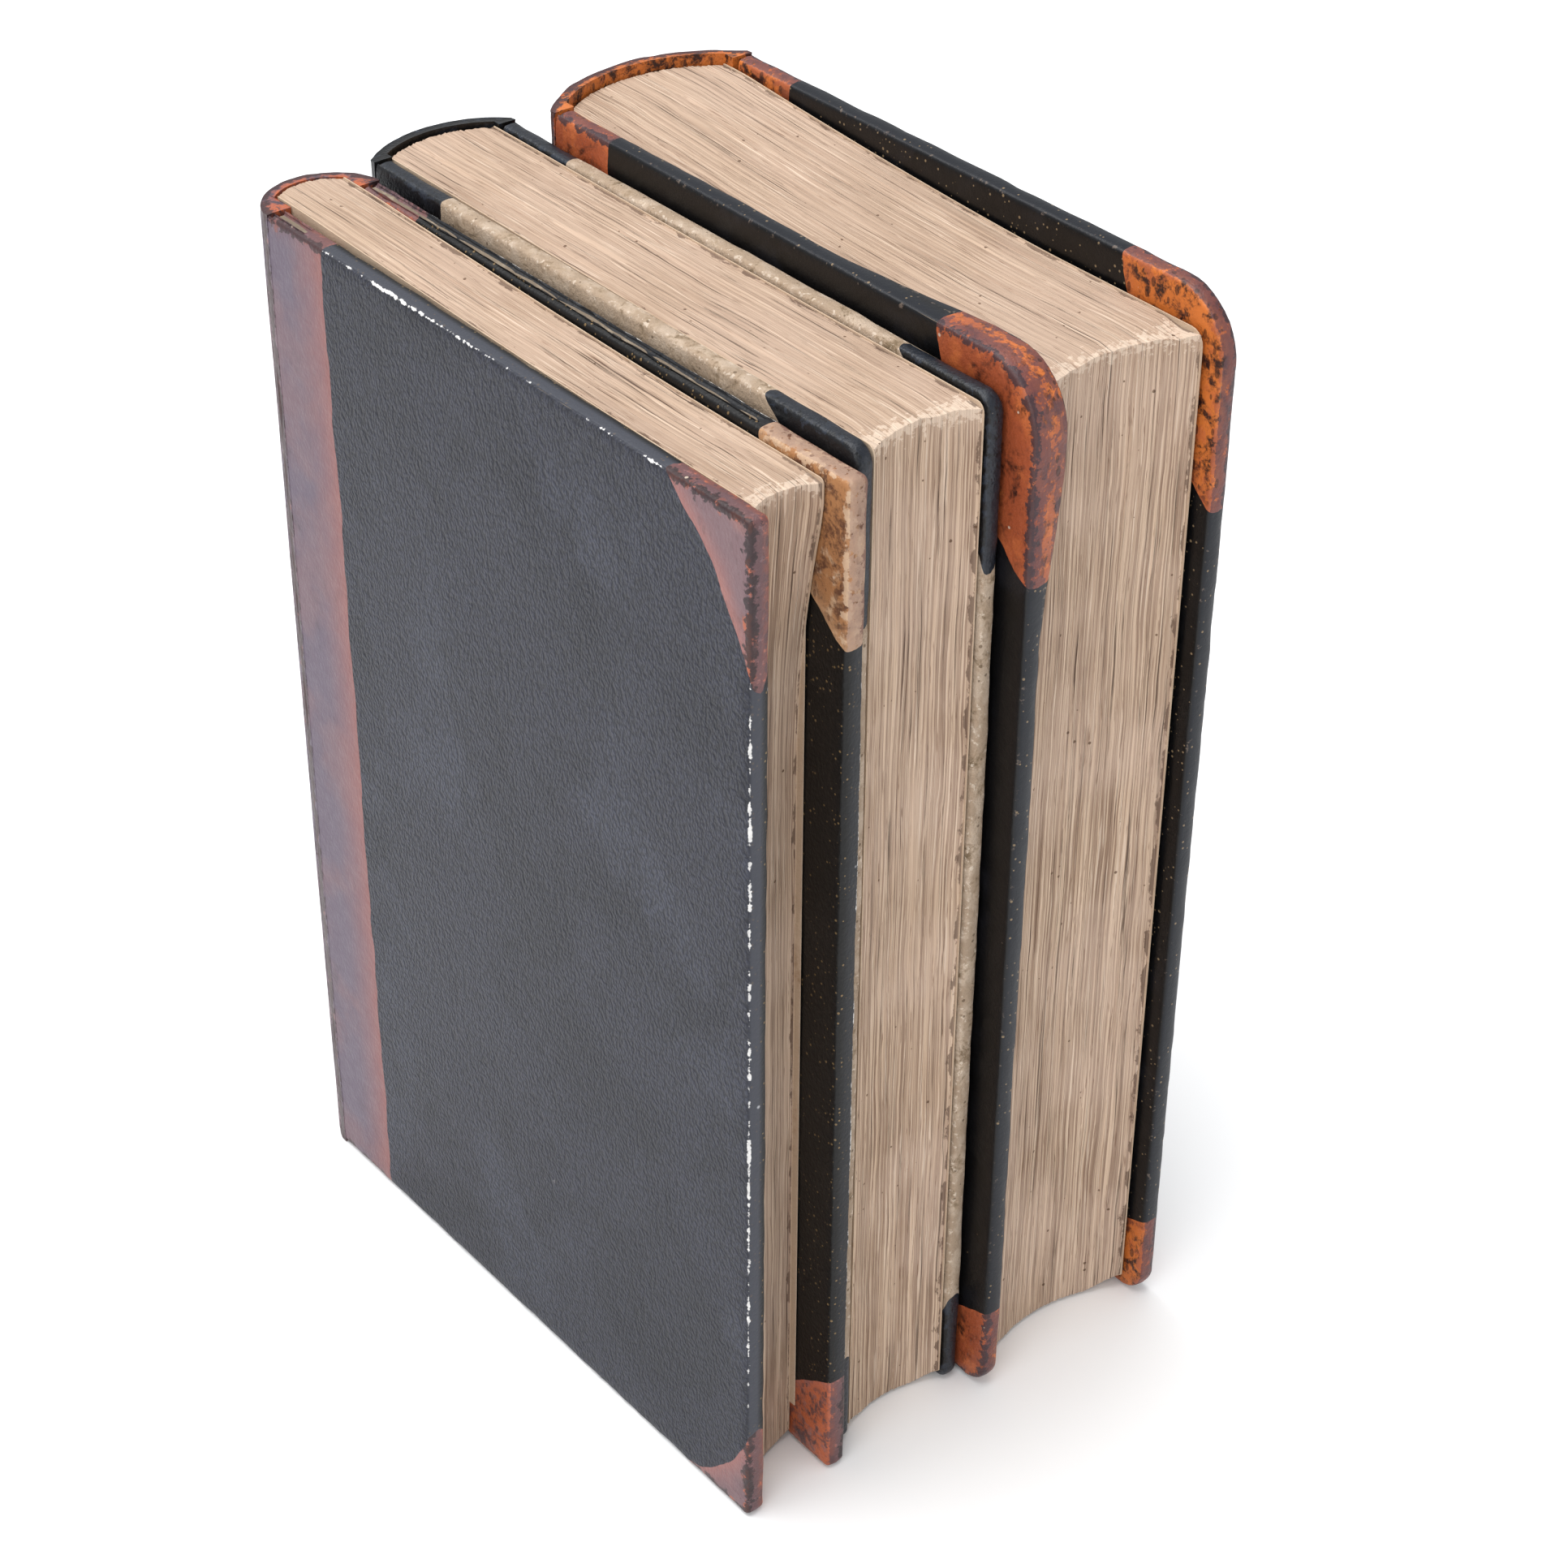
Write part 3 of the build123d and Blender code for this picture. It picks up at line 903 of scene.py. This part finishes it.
class LeavesShape:
    """Where the leaves of a volume lie, and how much each point takes part in their wear."""

    def __init__(self, volume):
        self.low, self.high = volume.box("sections")
        self.hollow = volume.fore_hollow
        self.bevel = volume.head_bevel

    def at_head(self, co):
        worn = self.bevel * 1.4
        return clamp((co.z - (self.high.z - worn)) / worn)

    def at_fore(self, co):
        return clamp(1 - (co.y - self.low.y - self.hollow) / (2 * MM))

    def at_bevel(self, co):
        return self.at_fore(co) * self.at_head(co)

    def near_head(self, co):
        return clamp((co.z - self.high.z + SOFT_HEAD) / SOFT_HEAD)

    def sunken(self, co):
        below = clamp((self.high.z - SINK_FROM - co.z) / SINK_OVER)
        towards_rear = clamp((co.x - self.low.x) / (self.high.x - self.low.x))
        return below * (2 - below) * towards_rear * clamp(1 - (co.y - self.low.y) / SINK_REACH)

    def risen(self, co):
        run = self.high.y - self.low.y - RISE_FROM - RISE_LEVEL
        return clamp((co.y - self.low.y - RISE_FROM) / run) ** 1.5 * self.near_head(co)

    def worn_band(self, co):
        from_fore = clamp(1 - (co.y - self.low.y - self.hollow) / BAND)
        return from_fore * clamp(1 - (self.high.z - co.z) / (2.4 * MM + self.bevel))

    # Closeness to the sides of the leaves, which their finish darkens as painted shade.
    def flank(self, co):
        return 1 - clamp(min(co.x - self.low.x, self.high.x - co.x) / (1.5 * MM))


def cut_leaves(volume, name, x_a, x_b):
    """Leaves between two planes: rounded back, hollow fore-edge, worn bevel at the head."""
    low, high = volume.box("sections")
    across, arc_y, arc_radius = volume.back_circle
    text_depth = volume.box("spine_leather")[1].y - high.y
    length = high.z - low.z
    middle_z = (high.z + low.z) / 2
    piece = block(name, Vector((x_a, low.y, low.z)), Vector((x_b, high.y + BEYOND, high.z)))
    back = rod("back", arc_radius - text_depth, "Z", (across, arc_y, middle_z), length + BEYOND)
    front = block("front", Vector((x_a - BEYOND, low.y - BEYOND, low.z - BEYOND)),
                  Vector((x_b + BEYOND, arc_y, high.z + BEYOND)))
    trim(front, back, "UNION")
    trim(piece, front, "INTERSECT")
    half, hollow = (high.x - low.x) / 2, volume.fore_hollow
    radius = (half**2 + hollow**2) / (2 * hollow)
    centre = ((low.x + high.x) / 2, low.y + hollow - radius, middle_z)
    trim(piece, rod("hollow", radius, "Z", centre, length + BEYOND, facets=256), "DIFFERENCE")

    def at_arris(a, b):
        return min(a.z, b.z) > high.z - TINY and max(a.y, b.y) < low.y + hollow + 0.1 * MM

    bevel(piece, at_arris, volume.head_bevel, 5)
    shave(piece, Vector((0, low.y + hollow / 2, low.z + 0.5 * MM)), Vector((0, -1, -1)))
    return piece


def make_leaves(volume, name, x_a, x_b, leaf_step, material, body, replaces):
    """Leaves between two planes, worn and warped. leaf_step is 0 for a leaf without ridges."""
    shape = LeavesShape(volume)
    low, high = shape.low, shape.high
    piece = cut_leaves(volume, name, x_a, x_b)
    rng = random.Random(name)
    places, x = [], x_a
    while leaf_step and x < x_b - leaf_step:
        x += leaf_step * rng.uniform(0.5, 1.5)
        places.append(x)
    slice_across(piece, "X", [p for p in places if p < x_b - 0.05 * MM])
    slice_across(piece, "Z", spread(low.z, high.z, LEAF_GRID))
    slice_across(piece, "Y", spread(low.y, high.y, LEAF_GRID))
    if volume.slump:
        push(piece, volume.slump, "Y", shape.sunken)
    push(piece, volume.rise, "Z", shape.risen)
    push(piece, volume.swell, "Z", shape.near_head)
    if leaf_step:
        ridges = {"grain": LEAF_RIDGES, "stretch": ALONG_LEAVES}
        weather(piece, depth=0.45 * MM, weight=shape.at_head, direction="Z", **ridges)
        weather(piece, depth=-0.5 * MM, weight=shape.at_fore, direction="Y", **ridges)
        weather(piece, depth=0.8 * MM, grain=3.5 * MM, weight=shape.at_bevel, direction="Z")
    mark(piece, "head", shape.at_head)
    mark(piece, "edge", shape.worn_band)
    mark(piece, "flank", shape.flank)
    return finish_piece(piece, material, body, replaces, angle=28)


def make_text_block(volume):
    """The sections of a volume and the flyleaves at its front and back."""
    low, high = volume.box("sections")
    name = volume.name
    body = f"{name}_book"
    make_leaves(volume, f"{name}_leaves", low.x, high.x, 0.3 * MM, FINISHES["leaves"], body,
                [f"{name}_sections"])
    for side in ("front", "rear"):
        a, b = volume.box(f"{side}_flyleaf")
        make_leaves(volume, f"{name}_{side}_end_leaf", a.x, b.x, 0, FINISHES["end_papers"], body,
                    [f"{name}_{side}_flyleaf"])


# Covers


GROOVE_RADIUS = 0.55 * MM   # of the grooves worn in the head edges of the left volume's boards
GROOVE_LIFT = 0.15 * MM     # height of a groove's axis above the edge
CORNER_FACETS = 10          # mesh steps round a fore corner


def slab(name, low, high, head_radius, tail_radius, arris):
    """A flat slab with rounded fore corners. arris rounds its edges, all but the spine edge."""
    piece = block(name, low, high)
    for height, radius in ((low.z, tail_radius), (high.z, head_radius)):
        corner = Vector((0, low.y, height))

        def at_corner(a, b):
            return max(abs(p.y - corner.y) + abs(p.z - corner.z) for p in (a, b)) < TINY

        bevel(piece, at_corner, radius, CORNER_FACETS)
    if arris:
        def on_rim(a, b):
            same_face = abs(a.x - b.x) < TINY
            at_spine = min(a.y, b.y) > high.y - TINY
            return same_face and not at_spine

        bevel(piece, on_rim, arris, 4)
    return piece


class CoverShape:
    """Where one cover of a volume lies, and how much each point takes part in its wear."""

    def __init__(self, volume, side):
        self.low, self.high = volume.box(*[f"{side}_{skin}" for skin in SKINS])
        self.hinge = volume.hinge_line
        self.high.y = self.hinge + LAP if volume.opens == side else self.hinge
        self.radii = (volume.head_radius, volume.tail_radius)
        self.outward = -1 if side == "front" else 1
        self.outer_x = self.low.x if side == "front" else self.high.x
        self.middle_x = (self.low.x + self.high.x) / 2
        self.thickness = self.high.x - self.low.x
        self.smear_y = self.low.y + 0.42 * (self.high.y - self.low.y)
        self.smear_z = self.low.z + 0.2 * (self.high.z - self.low.z)

    def under_face(self, depth):
        """X of the plane at a depth under the outer face."""
        return self.outer_x - self.outward * depth

    def from_outline(self, co):
        """How far inside the outline of the cover a point lies, in the plane of the cover."""
        up = co.z > (self.low.z + self.high.z) / 2
        radius = self.radii[0] if up else self.radii[1]
        from_fore = co.y - self.low.y
        from_end = self.high.z - co.z if up else co.z - self.low.z
        if from_fore < radius and from_end < radius:
            return radius - math.hypot(radius - from_fore, radius - from_end)
        return min(from_fore, from_end)

    def from_face(self, co):
        return min(abs(co.x - self.low.x), abs(co.x - self.high.x))

    def edge(self, co):
        """Along every edge."""
        return 1 - clamp((math.hypot(self.from_outline(co), self.from_face(co)) - 0.2 * MM) / (2.8 * MM))

    def ridge(self, co):
        """Along the arris of the outer face only."""
        away = math.hypot(self.from_outline(co), co.x - self.outer_x)
        return 1 - clamp((away - 0.3 * MM) / (1.8 * MM))

    def rim(self, co):
        """On the thin edges between the two faces."""
        return clamp(0.5 + (self.from_face(co) - self.from_outline(co)) / (0.5 * MM))

    def hidden(self, co):
        """On the inner face, and the inner part of the thin edges."""
        depth = abs(co.x - self.outer_x)
        return clamp((depth - 0.55 * self.thickness) / (0.2 * self.thickness))

    def smear(self, co):
        """Round a patch of painted sheen low on the outer face."""
        along, up = co.y - self.smear_y, co.z - self.smear_z
        return 1 - clamp(math.hypot(along / (9 * MM), up / (3 * MM)))

    def thick_corner(self, co):
        """On the inner face by the fore corner at the head, where the turned leather is thick."""
        from_corner = math.hypot(co.y - self.low.y, self.high.z - co.z)
        inner = abs(co.x - self.outer_x) / self.thickness
        near_rim = clamp(1.2 - self.from_outline(co) / (2.4 * MM))
        return clamp(inner * 2 - 1) * near_rim * clamp(1.6 - from_corner / (22 * MM))


def corner_tool(volume, side, which, low, high):
    """The block that cuts a leather corner out of a covering, with the corner's bowed edge."""
    corner_low, corner_high = volume.box(f"{side}_{which}_corner")
    along, down = corner_high.y - corner_low.y, corner_high.z - corner_low.z
    up = 1 if which == "head" else -1
    edge = high.z if which == "head" else low.z
    z_ends = sorted((edge + up * BEYOND, edge - up * down))
    tool = block(
        "corner_tool",
        Vector((low.x - BEYOND, low.y - BEYOND, z_ends[0])),
        Vector((high.x + BEYOND, low.y + along, z_ends[1])),
    )
    chord = math.hypot(along, down)
    bow = abs(volume.corner_bows[side])
    radius = chord**2 / (8 * bow) + bow / 2
    towards = Vector((0, -down, up * along)).normalized()
    middle = Vector(((low.x + high.x) / 2, low.y + along / 2, edge - up * down / 2))
    sign = 1 if volume.corner_bows[side] > 0 else -1
    centre = middle - towards * (radius - bow) * sign
    round_edge = rod("bow", radius, "X", centre, high.x - low.x + 4 * BEYOND, facets=256)
    trim(tool, round_edge, "DIFFERENCE" if sign > 0 else "INTERSECT")
    return tool


def roughen_tool(tool, low, high):
    """Let the edge that a tool cuts wander, as a pared leather edge does."""
    slice_across(tool, "X", spread(low.x, high.x, 1 * MM))
    a = min(v.co.y for v in tool.data.vertices)
    b = max(v.co.y for v in tool.data.vertices)
    slice_across(tool, "Y", spread(a, b, 2 * MM))
    a = min(v.co.z for v in tool.data.vertices)
    b = max(v.co.z for v in tool.data.vertices)
    slice_across(tool, "Z", spread(a, b, 2 * MM))
    weather(tool, depth=1.3 * MM, grain=5 * MM, middle=0.5)


def cut_groove(piece, x, y_a, y_b, top):
    """A narrow worn groove along the head edge of a board."""
    groove = rod("groove", GROOVE_RADIUS, "X", Vector((0, 0, 0)), y_b - y_a)
    pick(groove)
    bpy.ops.transform.rotate(value=math.pi / 2, orient_axis="Z", center_override=(0, 0, 0))
    bpy.ops.transform.translate(value=(x, (y_a + y_b) / 2, top + GROOVE_LIFT))
    bpy.ops.object.transform_apply(location=True, rotation=True, scale=True)
    slice_across(groove, "Y", spread(y_a, y_b, 1.5 * MM))
    weather(groove, depth=0.25 * MM, grain=3 * MM, middle=0.5)
    trim(piece, groove, "DIFFERENCE")


def shape_covering(volume, side, shape):
    """The covering of one board in one piece: rounded at its edges and worn."""
    low, high, hinge = shape.low, shape.high, shape.hinge
    covering = slab("covering", low, high, *shape.radii, ARRIS)
    near = [1.4 * MM, 2.4 * MM]
    start = 3.5 * MM
    y_places = [low.y + d for d in near] + spread(low.y + start, hinge - 1 * MM, GRID)
    z_places = [low.z + d for d in near] + [high.z - d for d in near]
    z_places += spread(low.z + start, high.z - start, GRID)
    slice_across(covering, "X", [shape.middle_x])
    slice_across(covering, "Y", y_places)
    slice_across(covering, "Z", z_places)
    if volume.name == "right" and side == "front":
        push(covering, -shape.outward * THICK_CORNER, "X", shape.thick_corner)
    if volume.name == "left":
        groove_start = low.y + 17 * MM if side == "rear" else hinge - 7 * MM
        cut_groove(covering, shape.middle_x, groove_start, hinge, high.z)
    weather(covering, depth=0.3 * MM, grain=22 * MM)
    weather(covering, depth=0.26 * MM, grain=4 * MM, weight=lambda co: clamp((shape.edge(co) - 0.5) * 3))
    return covering


def hollow_covering(covering, volume, side, shape):
    """Take away what the board fills, and what lies inside the leather or cloth turned in."""
    low, high, hinge = shape.low, shape.high, shape.hinge
    board_low, board_high = volume.box(f"{side}_board")
    past_cover = shape.under_face(shape.thickness + BEYOND)
    a, b = sorted((shape.under_face(COVERING), shape.under_face(shape.thickness - COVERING)))
    core_low = Vector((a, board_low.y, board_low.z))
    core_high = Vector((b, hinge + BEYOND, board_high.z))
    core_radii = [radius - COVERING for radius in shape.radii]
    trim(covering, slab("core", core_low, core_high, *core_radii, 0), "DIFFERENCE")
    a, b = sorted((shape.under_face(shape.thickness - 2 * COVERING), past_cover))
    infill_low = Vector((a, low.y + TURN_IN, low.z + TURN_IN))
    infill_high = Vector((b, hinge + BEYOND, high.z - TURN_IN))
    trim(covering, block("infill", infill_low, infill_high), "DIFFERENCE")
    a, b = sorted((shape.under_face(COVERING), past_cover))
    past_low = Vector((a, board_high.y, low.z - BEYOND))
    past_high = Vector((b, hinge + BEYOND, high.z + BEYOND))
    trim(covering, block("past_board", past_low, past_high), "DIFFERENCE")


def make_cover(volume, side):
    """The coverings of one board: joint leather, two corners and the side between them."""
    name = f"{volume.name}_{side}"
    shape = CoverShape(volume, side)
    low, high = shape.low, shape.high
    covering = shape_covering(volume, side, shape)
    hollow_covering(covering, volume, side, shape)
    joint_low = volume.box(f"{side}_joint_leather")[0]
    tools = {
        "joint_leather": block(
            "joint_tool",
            Vector((low.x - BEYOND, joint_low.y, low.z - BEYOND)),
            Vector((high.x + BEYOND, shape.hinge + 3 * BEYOND, high.z + BEYOND)),
        ),
        "head_corner": corner_tool(volume, side, "head", low, high),
        "tail_corner": corner_tool(volume, side, "tail", low, high),
    }
    pieces = {}
    for skin, tool in tools.items():
        roughen_tool(tool, low, high)
        pieces[skin] = trim(copy_of(covering, f"{name}_{skin}_worn"), tool, "INTERSECT", keep_tool=True)
    for tool in tools.values():
        trim(covering, tool, "DIFFERENCE")
    covering.name = f"{name}_side_worn"
    pieces["side"] = covering
    for skin, piece in pieces.items():
        for layer in ("edge", "rim", "hidden", "ridge"):
            mark(piece, layer, getattr(shape, layer))
        if skin == "side" and side == "front":
            mark(piece, "smear", shape.smear)
        others = [other for other in pieces.values() if other is not piece]
        mark_seam(piece, others, JOINT_SEAM if skin == "joint_leather" else SEAM)
    return pieces


def finish_cover(volume, side, pieces):
    opens = volume.opens == side
    body = f"{volume.name}_{side}_cover" if opens else f"{volume.name}_book"
    for skin, piece in pieces.items():
        slot = volume.covering if skin == "side" else volume.leather
        finish = FINISHES[OWN_FINISHES.get(f"{volume.name}_{side}_{skin}", slot)]
        finish_piece(piece, finish, body, [f"{volume.name}_{side}_{skin}"])


# Spines


def back_shape(name, volume, depth, x_a, x_b, y_front, z_a, z_b):
    """A solid bounded by the rounded back at a depth under the leather's face."""
    across, arc_y, radius = volume.back_circle
    y_back = volume.box("spine_leather")[1].y + BEYOND
    piece = block(name, Vector((x_a, y_front, z_a)), Vector((x_b, y_back, z_b)))
    middle_z = (z_a + z_b) / 2
    length = z_b - z_a + 2 * BEYOND
    back = rod("back", radius - depth, "Z", (across, arc_y, middle_z), length, facets=256)
    trim(piece, back, "INTERSECT")
    return piece


def make_spine(volume, joint=None):
    """Leather round the back, turned in at head and tail, and what its marks of wear measure.

    joint is the leather of an opening cover, which is welded to it.
    """
    low, high = volume.box("spine_leather")
    leaves_low, leaves_high = volume.box("sections")
    hinge = volume.hinge_line
    name = f"{volume.name}_spine_worn"
    spine = back_shape(name, volume, 0, low.x, high.x, hinge, low.z, high.z)
    inner = back_shape(
        "inner", volume, COVERING,
        low.x + COVERING, high.x - COVERING, hinge - BEYOND, low.z - BEYOND, high.z + BEYOND,
    )
    trim(spine, inner, "DIFFERENCE")
    cap_a, cap_b = low.x + COVERING / 2, high.x - COVERING / 2
    bore_a, bore_b = leaves_low.x - CLEAR, leaves_high.x + CLEAR
    for z_a, z_b in ((low.z, low.z + TURN_IN), (high.z - TURN_IN, high.z)):
        cap = back_shape("cap", volume, COVERING / 2, cap_a, cap_b, hinge, z_a, z_b)
        bore = back_shape(
            "bore", volume, CARD, bore_a, bore_b, hinge - BEYOND, z_a - BEYOND, z_b + BEYOND
        )
        trim(cap, bore, "DIFFERENCE")
        trim(spine, cap, "UNION")
    slice_across(spine, "X", spread(low.x, high.x, 1.2 * MM))
    fine = [0.5 * MM, 1.2 * MM]
    z_places = [low.z + d for d in fine] + [high.z - d for d in fine]
    slice_across(spine, "Z", z_places + spread(low.z + 2 * MM, high.z - 2 * MM, 2 * MM))
    across, arc_y, radius = volume.back_circle
    shoulder = volume.shoulder

    def depth_of(co):
        side = min(co.x - low.x, high.x - co.x)
        round_back = radius - math.hypot(co.x - across, co.y - arc_y)
        return max(0.0, min(side, round_back))

    def end_of(co):
        return min(co.z - low.z, high.z - co.z)

    def shoulder_of(co):
        return math.hypot(min(co.x - low.x, high.x - co.x), co.y - shoulder)

    def arris_of(co):
        return min(math.hypot(depth_of(co), end_of(co)), shoulder_of(co))

    def edge(co):
        return 1 - clamp((arris_of(co) - 0.2 * MM) / (1.6 * MM))

    def hidden(co):
        return clamp((depth_of(co) - 0.3 * MM) / (0.4 * MM))

    def unmarked(co):
        return 0.0

    def ridge(co):
        return 1 - clamp((arris_of(co) - 0.3 * MM) / (1.8 * MM))

    weather(spine, depth=0.2 * MM, grain=22 * MM)
    weather(spine, depth=0.32 * MM, grain=4 * MM, weight=lambda co: clamp((edge(co) - 0.4) * 3))
    if joint:
        trim(spine, joint, "UNION")
        steps = [0.15 * MM * i for i in range(-5, 8)]
        slice_across(spine, "Y", [hinge + step for step in steps])
    return spine, dict(zip(LAYERS, (edge, hidden, unmarked, unmarked, ridge)))


def make_binding(volume):
    """Both covers and the spine of a volume."""
    covers = {side: make_cover(volume, side) for side in ("front", "rear")}
    hinged = covers[volume.opens].pop("joint_leather") if volume.opens else None
    low, high = volume.box("spine_leather")
    joint_marks = {}
    if hinged:
        for layer in LAYERS:
            values = [item.value for item in hinged.data.attributes[layer].data]
            tree = kdtree.KDTree(len(values))
            for i, point in enumerate(hinged.data.vertices):
                tree.insert(point.co, i)
            tree.balance()
            joint_marks[layer] = (tree, values)
    spine, back_marks = make_spine(volume, hinged)
    on_joint = volume.hinge_line - 0.1 * MM

    def layered(layer):
        """What a layer measures on the back, or kept from the joint leather welded to it."""
        def value(co):
            if co.y < on_joint and layer in joint_marks:
                tree, values = joint_marks[layer]
                return values[tree.find(co)[1]]
            return back_marks[layer](co)
        return value

    for layer in LAYERS:
        mark(spine, layer, layered(layer))
    replaced = [f"{volume.name}_spine_leather"]
    book = f"{volume.name}_book"
    if not hinged:
        finish_piece(spine, FINISHES[volume.leather], book, replaced)
    else:
        replaced.append(f"{volume.name}_{volume.opens}_joint_leather")
        finish_piece(spine, FINISHES[volume.leather], None, replaced)
        outer_x = low.x if volume.opens == "front" else high.x
        start = Vector((outer_x, volume.hinge_line - 0.325 * MM, 0))
        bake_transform(spine)
    for side, pieces in covers.items():
        finish_cover(volume, side, pieces)


def dress_hidden_pieces():
    """Finishes of the boards, cords, linings, hollows and pastedowns, which keep their CAD shapes."""
    stock = {
        "board": "mill_board",
        "sewing_cords": "cords",
        "spine_lining": "lining_paper",
        "spine_hollow": "mill_board",
        "pastedown": "end_papers",
    }
    for name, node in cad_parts.items():
        for ending, slot in stock.items():
            if name.endswith(ending):
                node.data.materials.clear()
                node.data.materials.append(FINISHES[slot])


# Studio


def make_studio():
    """A pale floor, soft light from above and a bright room all round."""
    deselect()
    bpy.ops.mesh.primitive_plane_add(size=6, location=(0, 0, 0))
    floor = bpy.context.object
    floor.name = "floor"
    material, f, shader = new_material("pale_floor")
    tone = f.noise(f.add("TexCoord").outputs["Object"], 3.0, detail=2)
    connect(f, f.mix(tone, rgb(247, 247, 248), rgb(250, 250, 250)), shader.inputs["Base Color"])
    shader.inputs["Roughness"].default_value = 0.7
    floor.data.materials.append(material)
    world = bpy.data.worlds.new("bright_room")
    world.use_nodes = True
    world.node_tree.nodes["Background"].inputs["Color"].default_value = (0.97, 0.985, 1.0, 1.0)
    world.node_tree.nodes["Background"].inputs["Strength"].default_value = 0.58
    bpy.context.scene.world = world
    lights = [
        # name, place, aim, size, power
        ("soft_box_above", (-0.25, 0.25, 1.3), (0, 0, 0.05), 1.3, 22.5),
        ("soft_box_left", (-1.1, -0.7, 0.7), (0, 0, 0.07), 0.9, 7.0),
        ("soft_box_front", (0.7, -1.1, 0.3), (0, 0, 0.06), 0.8, 2.6),
    ]
    for name, place, aim, size, power in lights:
        lamp = bpy.data.lights.new(name, "AREA")
        lamp.size = size
        lamp.energy = power
        holder = bpy.data.objects.new(name, lamp)
        holder.location = place
        towards = Vector(aim) - Vector(place)
        holder.rotation_euler = towards.to_track_quat("-Z", "Y").to_euler()
        bpy.context.collection.objects.link(holder)


def make_camera():
    """A standing viewer's three-quarter look down at the fore-edges and the left volume."""
    turn, rise, tilt = math.radians(-39.28), math.radians(34.62), math.radians(0.56)
    back = Vector((math.sin(turn) * math.cos(rise), -math.cos(turn) * math.cos(rise), math.sin(rise)))
    right = (-back).cross(Vector((0, 0, 1))).normalized()
    up = right.cross(-back)
    right, up = right * math.cos(tilt) + up * math.sin(tilt), up * math.cos(tilt) - right * math.sin(tilt)
    lens = bpy.data.cameras.new("camera")
    lens.lens = 77.58
    lens.sensor_width = 36.0
    lens.clip_start = 0.01
    lens.clip_end = 20.0
    camera = bpy.data.objects.new("camera", lens)
    camera.location = (-0.22797, -0.29161, 0.32927)
    camera.rotation_euler = Matrix((right, up, back)).transposed().to_euler()
    bpy.context.collection.objects.link(camera)
    bpy.context.scene.camera = camera
    bpy.context.scene.view_settings.view_transform = "Standard"


for volume in VOLUMES:
    make_text_block(volume)
    make_binding(volume)
dress_hidden_pieces()
make_studio()
make_camera()
